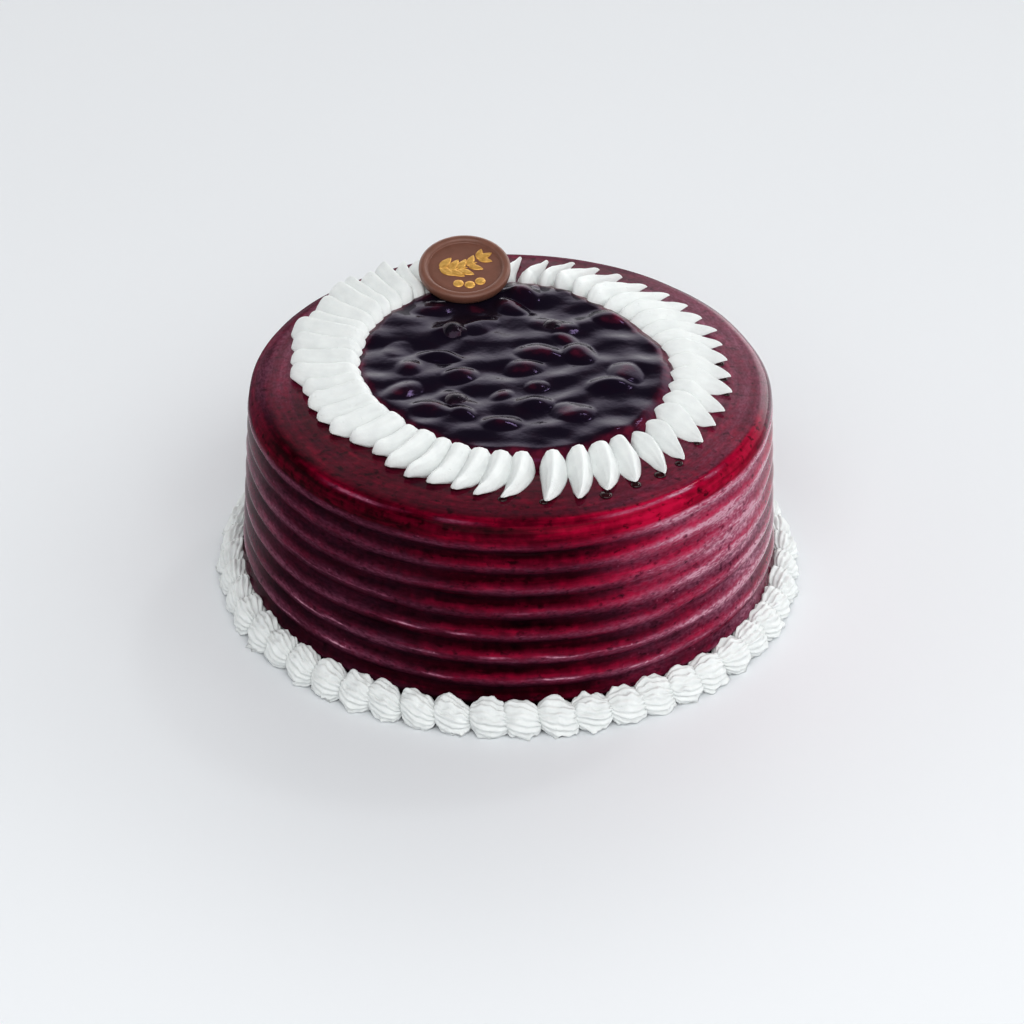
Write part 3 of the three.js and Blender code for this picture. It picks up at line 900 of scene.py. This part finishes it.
def shape_body(spots):
    """The body's points with its flutes, its uneven skin and its slightly domed top."""
    points = spots.points
    height = spots.z
    radius = spots.radius
    fluted = spots.on_side & (height > FOOT_HEIGHT)
    uneven = (radius > TOP_VISIBLE_RADIUS) & (height > 0)
    inward = fluted * flute_depth(spots) - uneven * rough(points, SKIN_UNEVEN)
    lift = fluted * rough(points, FLUTE_RISE) + (height == CAKE_HEIGHT) * rough(points, TOP_RIPPLE)
    dome = np.clip((radius - TOP_DOME_START) / (SHOULDER_START - TOP_DOME_START), 0, 1) ** 2
    lift = lift - TOP_DOME * dome * rise(*TOP_DOME_HEIGHTS, height)
    shrink = (radius - inward) / radius
    return np.stack([spots.x * shrink, spots.y * shrink, height + lift], axis=1)


def swirl_noise(spots, across, along, seed):
    """Noise drawn out along circles round the cake: streaks across wide and along long."""
    return noise_at(spots.course, (along, along, across), seed)


def gel_and_shading_cover(spots):
    """How thin the gel lies: 0 where it pools, 1 on a crest; painted shade darkens the creases, the left and
    the foot, and painted light brightens the right.
    """
    front = np.interp(spots.place, FLUTE_PLACES, FRONT_GEL_AND_SHADE)
    right = np.interp(spots.place, FLUTE_PLACES, RIGHT_GEL_AND_LIGHT)
    flute = front + product(spots, UPPER_RIGHT_PAINTED_LIGHT) * (right - front) + total(spots, RIGHT_PAINTED_LIGHT)
    flute = flute * product(spots, SIDE_PAINTED_SHADE)
    cover = np.where(spots.on_side, flute, total(spots, TOP_GEL_AND_LIGHT))
    cover += spots.on_shoulder * (total(spots, SHOULDER_GEL_AND_LIGHT) - cover)
    streaks = GEL_STREAK_AMOUNT + GEL_STREAK_SHOULDER * spots.on_shoulder
    return np.clip(cover + streaks * swirl_noise(spots, *GEL_STREAK), 0, 1)


def crest_highlight(spots):
    """Painted highlight: a broken pale line along each crest, strongest low down."""
    line = np.exp(-((spots.place - CREST_PLACE) / CREST_HIGHLIGHT_WIDTH) ** 2)
    broken = rise(*CREST_HIGHLIGHT_FADE, swirl_noise(spots, *CREST_HIGHLIGHT_STREAK))
    return line * broken * total(spots, CREST_HIGHLIGHT_STRENGTH)


def shoulder_glint(spots):
    """Painted highlight: a broken pale line along the inner edge of the shoulder, strong on the right and
    faint on the left.
    """
    line = np.exp(-((spots.radius - GLINT_RADIUS) / GLINT_WIDTH) ** 2)
    broken = rise(*GLINT_FADE, swirl_noise(spots, *GLINT_STREAK))
    return line * (spots.z > TOP_CREST_HEIGHT) * total(spots, GLINT) * broken


def haze_and_sheen_cover(spots):
    """How far the gel's skin is hazy and pale with a painted sheen of reflections, most on the right, and
    painted highlights in thin lines along the crests and the shoulder.
    """
    front, right, left = (
        np.interp(spots.place, FLUTE_PLACES, haze_and_sheen) for haze_and_sheen in (FRONT_HAZE_AND_SHEEN, RIGHT_HAZE_AND_SHEEN, LEFT_HAZE_AND_SHEEN)
    )
    flute = front + product(spots, FAR_RIGHT_HAZE_AND_SHEEN) * (right - front)
    flute += product(spots, FAR_LEFT_HAZE_AND_SHEEN) * (left - front) + total(spots, UPPER_EXTRA_HAZE_AND_SHEEN)
    streaks = HAZE_AND_SHEEN_STREAK_MEAN + HAZE_AND_SHEEN_STREAK_AMOUNT * swirl_noise(spots, *HAZE_AND_SHEEN_STREAK)
    flute *= np.clip(streaks, *HAZE_AND_SHEEN_STREAK_LIMITS) * total(spots, FRONT_LEFT_HAZE_AND_SHEEN_SHARE)
    flute = np.maximum(flute, crest_highlight(spots)) * total(spots, FOOT_HAZE_AND_SHEEN_SHARE)
    top = total(spots, TOP_HAZE_AND_SHEEN) * (1 + TOP_STREAK_AMOUNT * swirl_noise(spots, *TOP_STREAK))
    haze_and_sheen = np.where(spots.on_side, flute, top * total(spots, BACK_HAZE_AND_SHEEN_SHARE))
    haze_and_sheen += spots.on_shoulder * (total(spots, SHOULDER_HAZE_AND_SHEEN) - haze_and_sheen)
    return np.clip(haze_and_sheen + shoulder_glint(spots), 0, 1)


def wet_cover(spots, haze_and_sheen):
    """How glossy the gel's skin is: most on top and far round the side, least where it is clear and deep."""
    wet = np.where(spots.on_side, total(spots, SIDE_WET) + HAZE_AND_SHEEN_WET * haze_and_sheen, total(spots, TOP_WET))
    return wet + spots.on_shoulder * (total(spots, SHOULDER_WET) + HAZE_AND_SHEEN_WET * haze_and_sheen - wet)


def make_body(material):
    profile = side_profile()
    spots = read_spots(turned(profile, BODY_COLUMNS).reshape(-1, 3))
    haze_and_sheen = haze_and_sheen_cover(spots)
    # Besides the gel's thinness and the hazy skin, these values hold painted shade, painted light, a painted
    # sheen of reflections and painted highlights
    values = {
        "gel": gel_and_shading_cover(spots),
        "haze_and_sheen": haze_and_sheen,
        "wet": wet_cover(spots, haze_and_sheen),
        "course": spots.course * MM,
    }
    values = {key: np.concatenate([numbers, numbers[:1], numbers[-1:]]) for key, numbers in values.items()}
    skin = closed_rings(shape_body(spots).reshape(len(profile), BODY_COLUMNS, 3))
    make_piece("glazed_body", skin, material, ["cake_body"], values)


# Cream petals

def petal_name(index):
    return f"petal_{index + 1:02d}"


def node_points(node):
    """Corners of a CAD node, in millimetres."""
    return np.array([vertex.co[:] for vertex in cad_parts[node].data.vertices]) / MM


def read_petal(node):
    """Reach, azimuths of both ends and height of a petal, from its solid, and the traits of its group."""
    points = node_points(node)
    radius = np.hypot(points[:, 0], points[:, 1])
    azimuth = np.degrees(np.arctan2(points[:, 0], -points[:, 1]))
    tip = azimuth[radius > radius.max() - PETAL_END_TOLERANCE][0]
    offset = (azimuth - tip + 180) % 360 - 180
    spot = SimpleNamespace(azimuth=tip, turn=abs(tip))
    petal = SimpleNamespace(**{trait: float(total(spot, rows)) for trait, rows in PETAL_TRAITS.items()})
    petal.inner = radius.min() - petal.reach_in
    petal.tip = radius.max() + petal.reach_out
    petal.tail = tip
    petal.swirl = offset[radius < radius.min() + PETAL_END_TOLERANCE].mean()
    petal.height = points[:, 2].max() - TOPPING_LEVEL
    petal.keel = math.copysign(petal.keel, tip)
    return petal


def petal_ends(petal, along):
    """How full a petal is along its length: towards its round or pointed head, and towards its tail."""
    round_head = np.sqrt(1 - (1 - np.minimum(along / PETAL_HEAD_LENGTH, 1)) ** 2)
    point_head = np.minimum(along / PETAL_POINT_LENGTH, 1) ** PETAL_POINT_CURVE
    head = petal.blunt * round_head + (1 - petal.blunt) * point_head
    beyond = (along - petal.tail_start) / (1 - petal.tail_start)
    return head, np.sqrt(1 - np.maximum(beyond, 0) ** 2)


def petal_section(petal, along):
    """Height across a petal as a share of its keel: keen or round, with fine ridges on the flanks."""
    beside = np.linspace(-1, 1, PETAL_ACROSS) - petal.keel
    beside = beside / (1 + np.sign(-beside) * petal.keel)
    soft = PETAL_KEEL_SOFT
    flank = (np.sqrt(beside ** 2 + soft ** 2) - soft) / (math.sqrt(1 + soft ** 2) - soft)
    ridges = PETAL_RIDGE * np.cos(PETAL_RIDGES * np.pi * flank) * np.sin(np.pi * flank)
    side_curve, back_curve = PETAL_ROUND
    keen = 1 - flank ** PETAL_FLANK
    plump = (1 - flank ** side_curve) ** back_curve
    sharp = petal.sharp * rise(*PETAL_SHARP_FADE, along)[:, None]
    return sharp * keen + (1 - sharp) * plump + ridges


def roughen_petal(rings, seed):
    """A slightly uneven skin that doesn't sink below the petal's base."""
    points = rings.reshape(-1, 3)
    points = points + rough(points, PETAL_ROUGH, seed)[:, None]
    points[:, 2] = np.maximum(points[:, 2], PETAL_BASE)
    return points.reshape(rings.shape)


def petal_skin(petal, rng):
    """A leaf of cream: a blunt round head at the compote, a keel that falls outwards, a raised tail."""
    along = eased(PETAL_STATIONS)
    height, tail_height, half_width = (
        getattr(petal, trait) * rng.uniform(*limits) for trait, limits in PETAL_UNEVEN.items()
    )
    bow = rng.uniform(*PETAL_BOW)
    lean = rng.uniform(*PETAL_LEAN)
    tip = petal.tip + petal.uneven * rng.uniform(-1, 1)
    head, tail = petal_ends(petal, along)
    fall = (np.maximum(along - PETAL_CROWN, 0) / (1 - PETAL_CROWN)) ** PETAL_KEEL_FALL
    keel = (height + (tail_height - height) * fall) * head ** PETAL_KEEL_HEAD * tail
    beyond = np.maximum(along - petal.taper_start, 0) / (1 - petal.taper_start)
    taper = 1 - (1 - petal.tail_width) * beyond ** petal.taper
    width = half_width * head * taper * np.sqrt(tail)
    section = keel[:, None] * petal_section(petal, along)
    radius = petal.inner + (tip - petal.inner) * along
    spine = petal.tail + petal.swirl * (1 - along) + bow * np.sin(np.pi * along)
    offset = width[:, None] * np.linspace(-1, 1, PETAL_ACROSS) + lean * section
    x, y = polar(radius[:, None], spine[:, None] + np.degrees(offset / radius[:, None]))
    under = PETAL_TIP_LIFT * rise(*PETAL_TIP_FADE, along)
    rings = np.stack([x, y, PETAL_BASE + under[:, None] + section], axis=2)
    return closed_rings(roughen_petal(rings, rng.uniform(*NOISE_SEEDS)))


def make_petals(petals, material):
    rng = random.Random(SEEDS["petals"])
    for index, petal in enumerate(petals):
        skin = petal_skin(petal, rng)
        make_piece(f"cream_{petal_name(index)}", skin, material, [petal_name(index)])


def drop_skin(x, y, radius):
    """A flat bead of gel standing on the top of the cake."""
    rings = ball_rings(np.linspace(*DROP_RINGS), DROP_COLUMNS, radius, DROP_HEIGHT)
    return closed_rings(rings + (x, y, CAKE_HEIGHT - DROP_SINK))


def make_drops(petals, material):
    """Dark beads of gel squeezed out at the tips of the petals on the right."""
    rng = random.Random(SEEDS["drops"])
    first, last = DROP_AZIMUTHS
    skins = []
    for petal in petals:
        if first < petal.tail < last and rng.uniform(0, 1) < DROP_SHARE:
            azimuth = petal.tail + rng.uniform(*DROP_TURN)
            x, y = polar(petal.tip + rng.uniform(*DROP_OUT), azimuth)
            skins.append(drop_skin(x, y, DROP_RADIUS * rng.uniform(*DROP_SIZES)))
    points, faces = join(skins)
    count = len(points)
    values = {"gel": np.full(count, DROP_GEL), "haze_and_sheen": np.zeros(count), "wet": np.ones(count)}
    make_piece("gel_drops", (points, faces), material, values=values)


# Berry compote

def compote_rim(petals, azimuths):
    """Radius of the compote's rim, tucked under the petals' heads."""
    heads = np.array([(petal.tail + petal.swirl) % 360 for petal in petals])
    reach = np.array([petal.inner for petal in petals])
    order = np.argsort(heads)
    return np.interp(azimuths % 360, heads[order], reach[order], period=360) + COMPOTE_TUCK


def ripple(x, y):
    """Rolling surface of the compote."""
    across = 2 * np.pi * x / RIPPLE_ACROSS
    along = 2 * np.pi * y / RIPPLE_ALONG
    swell = np.cos(across - RIPPLE_SLANT * along)
    return RIPPLE_HEIGHT * swell * np.sin(along + RIPPLE_BEND * np.sin(across))


def place_berries(rng):
    """Place, size and lift of each berry that shows, large ones first, then small ones between them."""
    berries = []
    for x, y in BERRY_PLACES:
        size = rng.uniform(*BERRY_SIZE)
        berries.append(SimpleNamespace(x=x, y=y, size=size, lift=rng.uniform(*BERRY_LIFT)))
    for _ in range(SMALL_BERRY_TRIES):
        if len(berries) == len(BERRY_PLACES) + SMALL_BERRIES:
            break
        x, y = polar(SMALL_BERRY_REACH * math.sqrt(rng.uniform(0, 1)), rng.uniform(0, 360))
        if all(math.hypot(x - other.x, y - other.y) > SMALL_BERRY_GAP for other in berries):
            size = rng.uniform(*SMALL_BERRY_SIZE)
            berries.append(SimpleNamespace(x=x, y=y, size=size, lift=rng.uniform(*SMALL_BERRY_LIFT)))
    return berries


def plan_berries():
    """The berries with their shape, redness, radius and rise; a few of them are bare."""
    rng = random.Random(SEEDS["compote"])
    berries = place_berries(rng)
    for index, berry in enumerate(berries):
        berry.stretch = rng.uniform(*BERRY_STRETCH)
        berry.skew = rng.uniform(*BERRY_SKEW)
        berry.round = rng.uniform(*BERRY_ROUND)
        berry.red = rng.uniform(0, 1) > BERRY_PLAIN_SHARE
        berry.bare = index in BARE_BERRIES
        berry.radius = BERRY_RADIUS * berry.size
        berry.rise = BERRY_RISE * (BARE_LIFT if berry.bare else berry.lift)
        level = COMPOTE_BASE + COMPOTE_DEPTH + float(ripple(berry.x, berry.y))
        berry.top = level + berry.rise
    return berries


def berry_swell(berry, x, y):
    """Rise of the gel over a berry, from 0 at its skirt to 1 at its crown."""
    across = (x - berry.x) / berry.stretch + berry.skew * (y - berry.y)
    along = (y - berry.y) * berry.stretch
    distance = np.hypot(across, along) / (SWELL_REACH * berry.radius)
    return np.clip(1 - distance ** 2, 0, 1) ** berry.round


def compote_surface(x, y, edge, berries):
    """Height of the gel over its rolls and berries, and how thin it lies, by its share of the radius."""
    crowns = np.zeros_like(x)
    swells = np.zeros_like(x)
    for berry in berries:
        swell = berry_swell(berry, x, y)
        crowns = np.maximum(crowns, swell * berry.red)
        swells = np.maximum(swells, berry.rise * swell * (BARE_COVER if berry.bare else 1))
    flat = np.stack([x, y, np.zeros_like(x)], axis=2).reshape(-1, 3)
    relief = RIPPLE_SHARE * ripple(x, y) + rough(flat, ROLLS).reshape(x.shape) + swells
    depth = COMPOTE_EDGE_HEIGHT + (COMPOTE_DEPTH - COMPOTE_EDGE_HEIGHT) * rise(*COMPOTE_DEPTH_FADE, edge)
    bend = np.maximum((edge - EDGE_ROUND_START) / (1 - EDGE_ROUND_START), 0) ** 2
    height = depth + relief * rise(*RELIEF_FADE, edge) - COMPOTE_EDGE_HEIGHT * EDGE_ROUND_SHARE * bend
    return COMPOTE_BASE + height, total(SimpleNamespace(edge=edge, crown=crowns), THIN_GEL)


def make_compote(petals, berries, material):
    azimuths = even_azimuths(COMPOTE_COLUMNS)
    shares = np.concatenate([np.linspace(*rings) for rings in COMPOTE_RINGS])
    edge = np.repeat(shares[:, None], COMPOTE_COLUMNS, axis=1)
    x, y = polar(edge * compote_rim(petals, azimuths), azimuths)
    surface, thin = compote_surface(x, y, edge, berries)
    top = np.stack([x, y, surface], axis=2)
    foot = top[-1:].copy()
    foot[:, :, 2] = COMPOTE_BASE - COMPOTE_SINK
    skin = closed_rings(np.concatenate([top, foot]))
    thin = np.concatenate([thin.ravel(), thin[-1], [0, 0]])
    make_piece("compote_gel", skin, material, ["berry_compote"], {"thin": thin})


def berry_skin(berry, rng):
    """A round berry with a starry crown, turned so that the crown shows at its side."""
    angles = np.linspace(*BERRY_RINGS)
    turn = np.radians(even_azimuths(BERRY_COLUMNS))
    star = CROWN_HEIGHT + CROWN_POINT_HEIGHT * np.cos(CROWN_POINTS * turn)
    crown = np.exp(-((angles - CROWN_ANGLE) / CROWN_WIDTH) ** 2)[:, None] * star
    hollow = CROWN_HOLLOW * np.exp(-(angles / CROWN_HOLLOW_WIDTH) ** 2)[:, None]
    reach = berry.radius * (1 + crown - hollow)
    rings = ball_rings(angles, BERRY_COLUMNS, reach, BERRY_FLATNESS * reach)
    tilt = Matrix.Rotation(math.radians(rng.uniform(*BERRY_TILT)), 3, "X")
    heading = Matrix.Rotation(rng.uniform(*BERRY_HEADING), 3, "Z")
    rings = rings @ np.array(heading @ tilt).T
    return closed_rings(rings + (berry.x, berry.y, berry.top - berry.radius))


def make_berries(berries, material):
    rng = random.Random(SEEDS["berries"])
    skins = [berry_skin(berry, rng) for berry in berries if berry.bare]
    make_piece("whole_berries", join(skins), material)


# Chocolate medallion

def lay_on_medallion(skin):
    """Moves a skin from the medallion's own frame to its tilted place on the cake."""
    points, faces = skin
    x, y, z = MEDALLION_LOW_EDGE
    tilt = math.radians(MEDALLION_TILT)
    centre = Vector((
        x,
        y + MEDALLION_RADIUS * math.cos(tilt),
        TOPPING_LEVEL + z + MEDALLION_RADIUS * math.sin(tilt),
    ))
    matrix = np.array(Matrix.Translation(centre) @ Matrix.Rotation(tilt, 4, "X"))
    return points @ matrix[:3, :3].T + matrix[:3, 3], faces


def medallion_profile():
    """Radius and height from the middle of the sunk face over the round rim to the underside."""
    inner = MEDALLION_RADIUS - MEDALLION_RIM
    rows = [(radius, MEDALLION_FACE) for radius in FACE_RADII]
    rows += [(inner - distance, MEDALLION_FACE - depth) for distance, depth in FACE_GROOVE]
    for angle in np.radians(np.linspace(*RIM_ARC, RIM_POINTS)):
        rows.append((
            inner + MEDALLION_RIM / 2 * (1 + math.cos(angle)),
            MEDALLION_FACE + RIM_LIFT + RIM_SHARE * MEDALLION_RECESS * math.sin(angle),
        ))
    rows.append((MEDALLION_RADIUS, MEDALLION_FACE - SIDE_DROP))
    rows += [(MEDALLION_RADIUS - distance, height) for distance, height in UNDER_EDGE]
    rows.append((UNDER_RADIUS, 0))
    return np.array(rows)


def make_medallion(material):
    skin = lay_on_medallion(closed_rings(turned(medallion_profile(), MEDALLION_COLUMNS)))
    make_piece("chocolate_medallion", skin, material, ["medallion"])


def relief_leaf(x, y, heading, length, width):
    """A low leaf with a midrib, lying on the medallion's face."""
    along = np.linspace(*LEAF_STATIONS)[:, None]
    across = np.linspace(-1, 1, LEAF_COLUMNS)[None, :]
    forward = length * along + 0 * across
    aside = width / 2 * np.sin(np.pi * along ** LEAF_FULLNESS) ** LEAF_FULLNESS * across
    bulge = np.sqrt(1 - across ** 2) * np.sin(np.pi * along) ** LEAF_ROUND
    rib = LEAF_RIB * np.exp(-(across / LEAF_RIB_WIDTH) ** 2)
    angle = math.radians(heading)
    return closed_rings(np.stack([
        x + forward * math.cos(angle) - aside * math.sin(angle),
        y + forward * math.sin(angle) + aside * math.cos(angle),
        MEDALLION_FACE - SPRIG_SINK + LEAF_HEIGHT * bulge - rib,
    ], axis=2))


def relief_dot(x, y):
    """A low round berry on the medallion's face."""
    rings = ball_rings(np.linspace(*DOT_RINGS), DOT_COLUMNS, DOT_RADIUS, DOT_HEIGHT)
    return closed_rings(rings + (x, y, MEDALLION_FACE - SPRIG_SINK))


def make_motif(material):
    """A gold sprig: a bent row of leaf pairs with three berries below it."""
    skins = []
    for share in np.linspace(0, 1, SPRIG_STEPS):
        x = SPRIG_START[0] + SPRIG_REACH[0] * share
        y = SPRIG_START[1] + SPRIG_REACH[1] * share - SPRIG_SAG * math.sin(math.pi * share)
        heading = SPRIG_HEADING + SPRIG_BEND * share
        length, width = ((1 - SPRIG_TAPER * share) * measure for measure in LEAF_SIZE)
        for spread in (LEAF_SPREAD, -LEAF_SPREAD):
            skins.append(relief_leaf(x, y, heading + spread, length, width))
        skins.append(relief_leaf(x + STEM_OFFSET[0], y + STEM_OFFSET[1], heading, *STEM_SIZE))
    skins.append(relief_leaf(*END_LEAF))
    skins += [relief_dot(*place) for place in DOT_PLACES]
    make_piece("gold_sprig", lay_on_medallion(join(skins)), material)


# Cream shell border

def shell_lobes(share, rng):
    """Height of the ridges along and round a shell, each ridge lumpy in its own way."""
    lumps = [[rng.uniform(*SHELL_LUMP_SIZE) for _ in range(SHELL_LUMPS)] for _ in range(SHELL_RIDGES)]
    knots = np.linspace(0, 1, SHELL_LUMPS)
    ridges = np.stack([np.interp(share, knots, row) for row in lumps], axis=1)
    place = np.arange(SHELL_RIDGES * SHELL_RIDGE_POINTS) / SHELL_RIDGE_POINTS % 1
    lobe = (1 - np.abs(2 * place - 1)) ** SHELL_LOBE_CURVE
    return lobe * np.repeat(ridges, SHELL_RIDGE_POINTS, axis=1)


def shell_swell(share, size, lobes):
    """Thickness along and round a shell: plump in the middle, capped at both ends, grooved all along."""
    place = np.abs(2 * share - 1)
    cap = np.sqrt(1 - np.maximum((place - SHELL_CAP) / (1 - SHELL_CAP), 0) ** 2)
    swell = size * (SHELL_NECK + (1 - SHELL_NECK) * (1 - place ** SHELL_SQUARE)) * cap
    relief = SHELL_GROOVE * (1 + SHELL_END_GROOVE * rise(*SHELL_END_FADE, place))[:, None]
    return swell[:, None] * (1 - relief + relief * lobes)


def shell_skin(middle, size, rng):
    """One shell: a plump rope of sharp ridges that leans on the cake and ends low in a toothed tail."""
    share = eased(SHELL_STATIONS)
    slant = math.radians(rng.uniform(*SHELL_SLANT))
    twist = math.radians(rng.uniform(*SHELL_TWIST))
    lean = math.radians(SHELL_LEAN)
    lobes = shell_lobes(share, rng)
    swell = shell_swell(share, size, lobes)
    from_middle = share[:, None] - 0.5
    turn = np.radians(even_azimuths(SHELL_RIDGES * SHELL_RIDGE_POINTS))
    angle = turn - twist * from_middle + rng.uniform(*SHELL_ROLL)
    teeth = SHELL_TOOTH * rise(*SHELL_TAIL_FADE, share)[:, None] * (lobes - SHELL_TOOTH_MEAN)
    reach = SHELL_LENGTH * from_middle + teeth
    down = SHELL_GIRTH * swell * np.cos(angle) + reach * math.sin(slant)
    up = SHELL_THICKNESS * swell * np.sin(angle)
    out = SHELL_MIDDLE_RADIUS + down * math.sin(lean) + up * math.cos(lean)
    z = np.maximum(SHELL_MIDDLE_HEIGHT - down * math.cos(lean) + up * math.sin(lean), 0)
    foot = rise(*SHELL_FOOT_FADE, z) * (out > SHELL_MIDDLE_RADIUS)
    out = out + SHELL_TOOTH * (lobes - SHELL_FOOT_MEAN) * foot
    azimuth = middle + np.degrees(reach * math.cos(slant) / SHELL_MIDDLE_RADIUS)
    out, z = roughen_shell(out, z, azimuth, rng.uniform(*NOISE_SEEDS))
    x, y = polar(out, azimuth)
    return closed_rings(np.stack([x, y, z], axis=2))


def roughen_shell(out, z, azimuth, seed):
    """Uneven cream: a rough skin, knobs along the top and small spikes at the foot."""
    x, y = polar(out, azimuth)
    places = np.stack([x, y, z], axis=2).reshape(-1, 3)
    skin, spikes, knobs = (
        rough(places, rows, seed).reshape(out.shape) for rows in (SHELL_ROUGH, SHELL_SPIKES, SHELL_KNOBS)
    )
    foot = rise(*SHELL_SPIKE_FADE, z) * (out > SHELL_MIDDLE_RADIUS)
    out = out + skin + np.maximum(spikes, 0) * foot
    return out, np.maximum(z + knobs * rise(*SHELL_KNOB_FADE, z), 0)


def make_border(material):
    rng = random.Random(SEEDS["shells"])
    pitch = 360 / SHELL_COUNT
    skins = []
    for index in range(SHELL_COUNT):
        size = rng.uniform(*SHELL_SIZE)
        middle = (index + rng.uniform(*SHELL_PLACE)) * pitch
        skins.append(shell_skin(middle, size, rng))
    make_piece("cream_border", join(skins), material, ["shell_border"])


# Studio

def make_floor():
    mesh = bpy.data.meshes.new("floor")
    reach = FLOOR_REACH * MM
    level = FLOOR_LEVEL * MM
    corners = [(x * reach, y * reach, level) for x, y in ((-1, -1), (1, -1), (1, 1), (-1, 1))]
    mesh.from_pydata(corners, [], [(0, 1, 2, 3)])
    mesh.materials.append(floor_material())
    floor = add_object("floor", mesh)


def make_lights():
    """Square soft lights aimed at the cake."""
    for name, (place, size, power) in LIGHTS.items():
        data = bpy.data.lights.new(name, "AREA")
        data.shape = "SQUARE"
        data.size = size
        data.energy = power
        light = add_object(name, data)
        light.location = place
        aim = Vector(LIGHT_AIM) - Vector(place)
        light.rotation_euler = aim.to_track_quat("-Z", "Y").to_euler()


def make_world():
    """A pale room, brightest low behind the cake on the right, with a dim ceiling."""
    world = bpy.data.worlds.new("room")
    bpy.context.scene.world = world
    world.use_nodes = True
    tree = world.node_tree
    place = add_node(tree, "ShaderNodeTexCoord").outputs["Generated"]
    facing = add_node(tree, "ShaderNodeVectorMath", operation="DOT_PRODUCT")
    tree.links.new(place, facing.inputs[0])
    facing.inputs[1].default_value = Vector(BRIGHT_SIDE).normalized()
    share = map_range(tree, facing.outputs["Value"], (-1, 1), (0, 1))
    axes = add_node(tree, "ShaderNodeSeparateXYZ")
    tree.links.new(place, axes.inputs["Vector"])
    strength = map_range(tree, axes.outputs["Z"], CEILING_EDGE, (ROOM_STRENGTH, CEILING_STRENGTH))
    background = tree.nodes["Background"]
    tree.links.new(colour_ramp(tree, share, ROOM_COLOURS), background.inputs["Color"])
    tree.links.new(strength, background.inputs["Strength"])


def make_camera():
    elevation = math.radians(CAMERA_ELEVATION)
    target = Vector(CAMERA_TARGET)
    back = Vector((0, -math.cos(elevation), math.sin(elevation)))
    data = bpy.data.cameras.new("camera")
    data.sensor_fit = "HORIZONTAL"
    data.sensor_width = SENSOR_WIDTH
    data.lens = SENSOR_WIDTH * FOCAL_PIXELS / IMAGE_PIXELS
    camera = add_object("camera", data)
    roll = Matrix.Rotation(math.radians(-CAMERA_ROLL), 3, "Z")
    aim = (-back).to_track_quat("-Z", "Y").to_matrix()
    camera.rotation_euler = (aim @ roll).to_euler()
    camera.location = (target + back * CAMERA_DISTANCE) * MM
    bpy.context.scene.camera = camera


def set_colour_management():
    scene = bpy.context.scene
    scene.view_settings.view_transform = "Standard"
    scene.view_settings.gamma = VIEW_GAMMA


def build():
    cream = cream_material()
    petals = [read_petal(petal_name(index)) for index in range(PETAL_COUNT)]
    berries = plan_berries()
    glaze = glaze_material()
    make_body(glaze)
    make_petals(petals, cream)
    make_drops(petals, glaze)
    make_compote(petals, berries, compote_material())
    make_berries(berries, berry_material())
    make_medallion(chocolate_material())
    make_motif(gold_material())
    make_border(cream)
    make_floor()
    make_lights()
    make_world()
    make_camera()
    set_colour_management()


build()
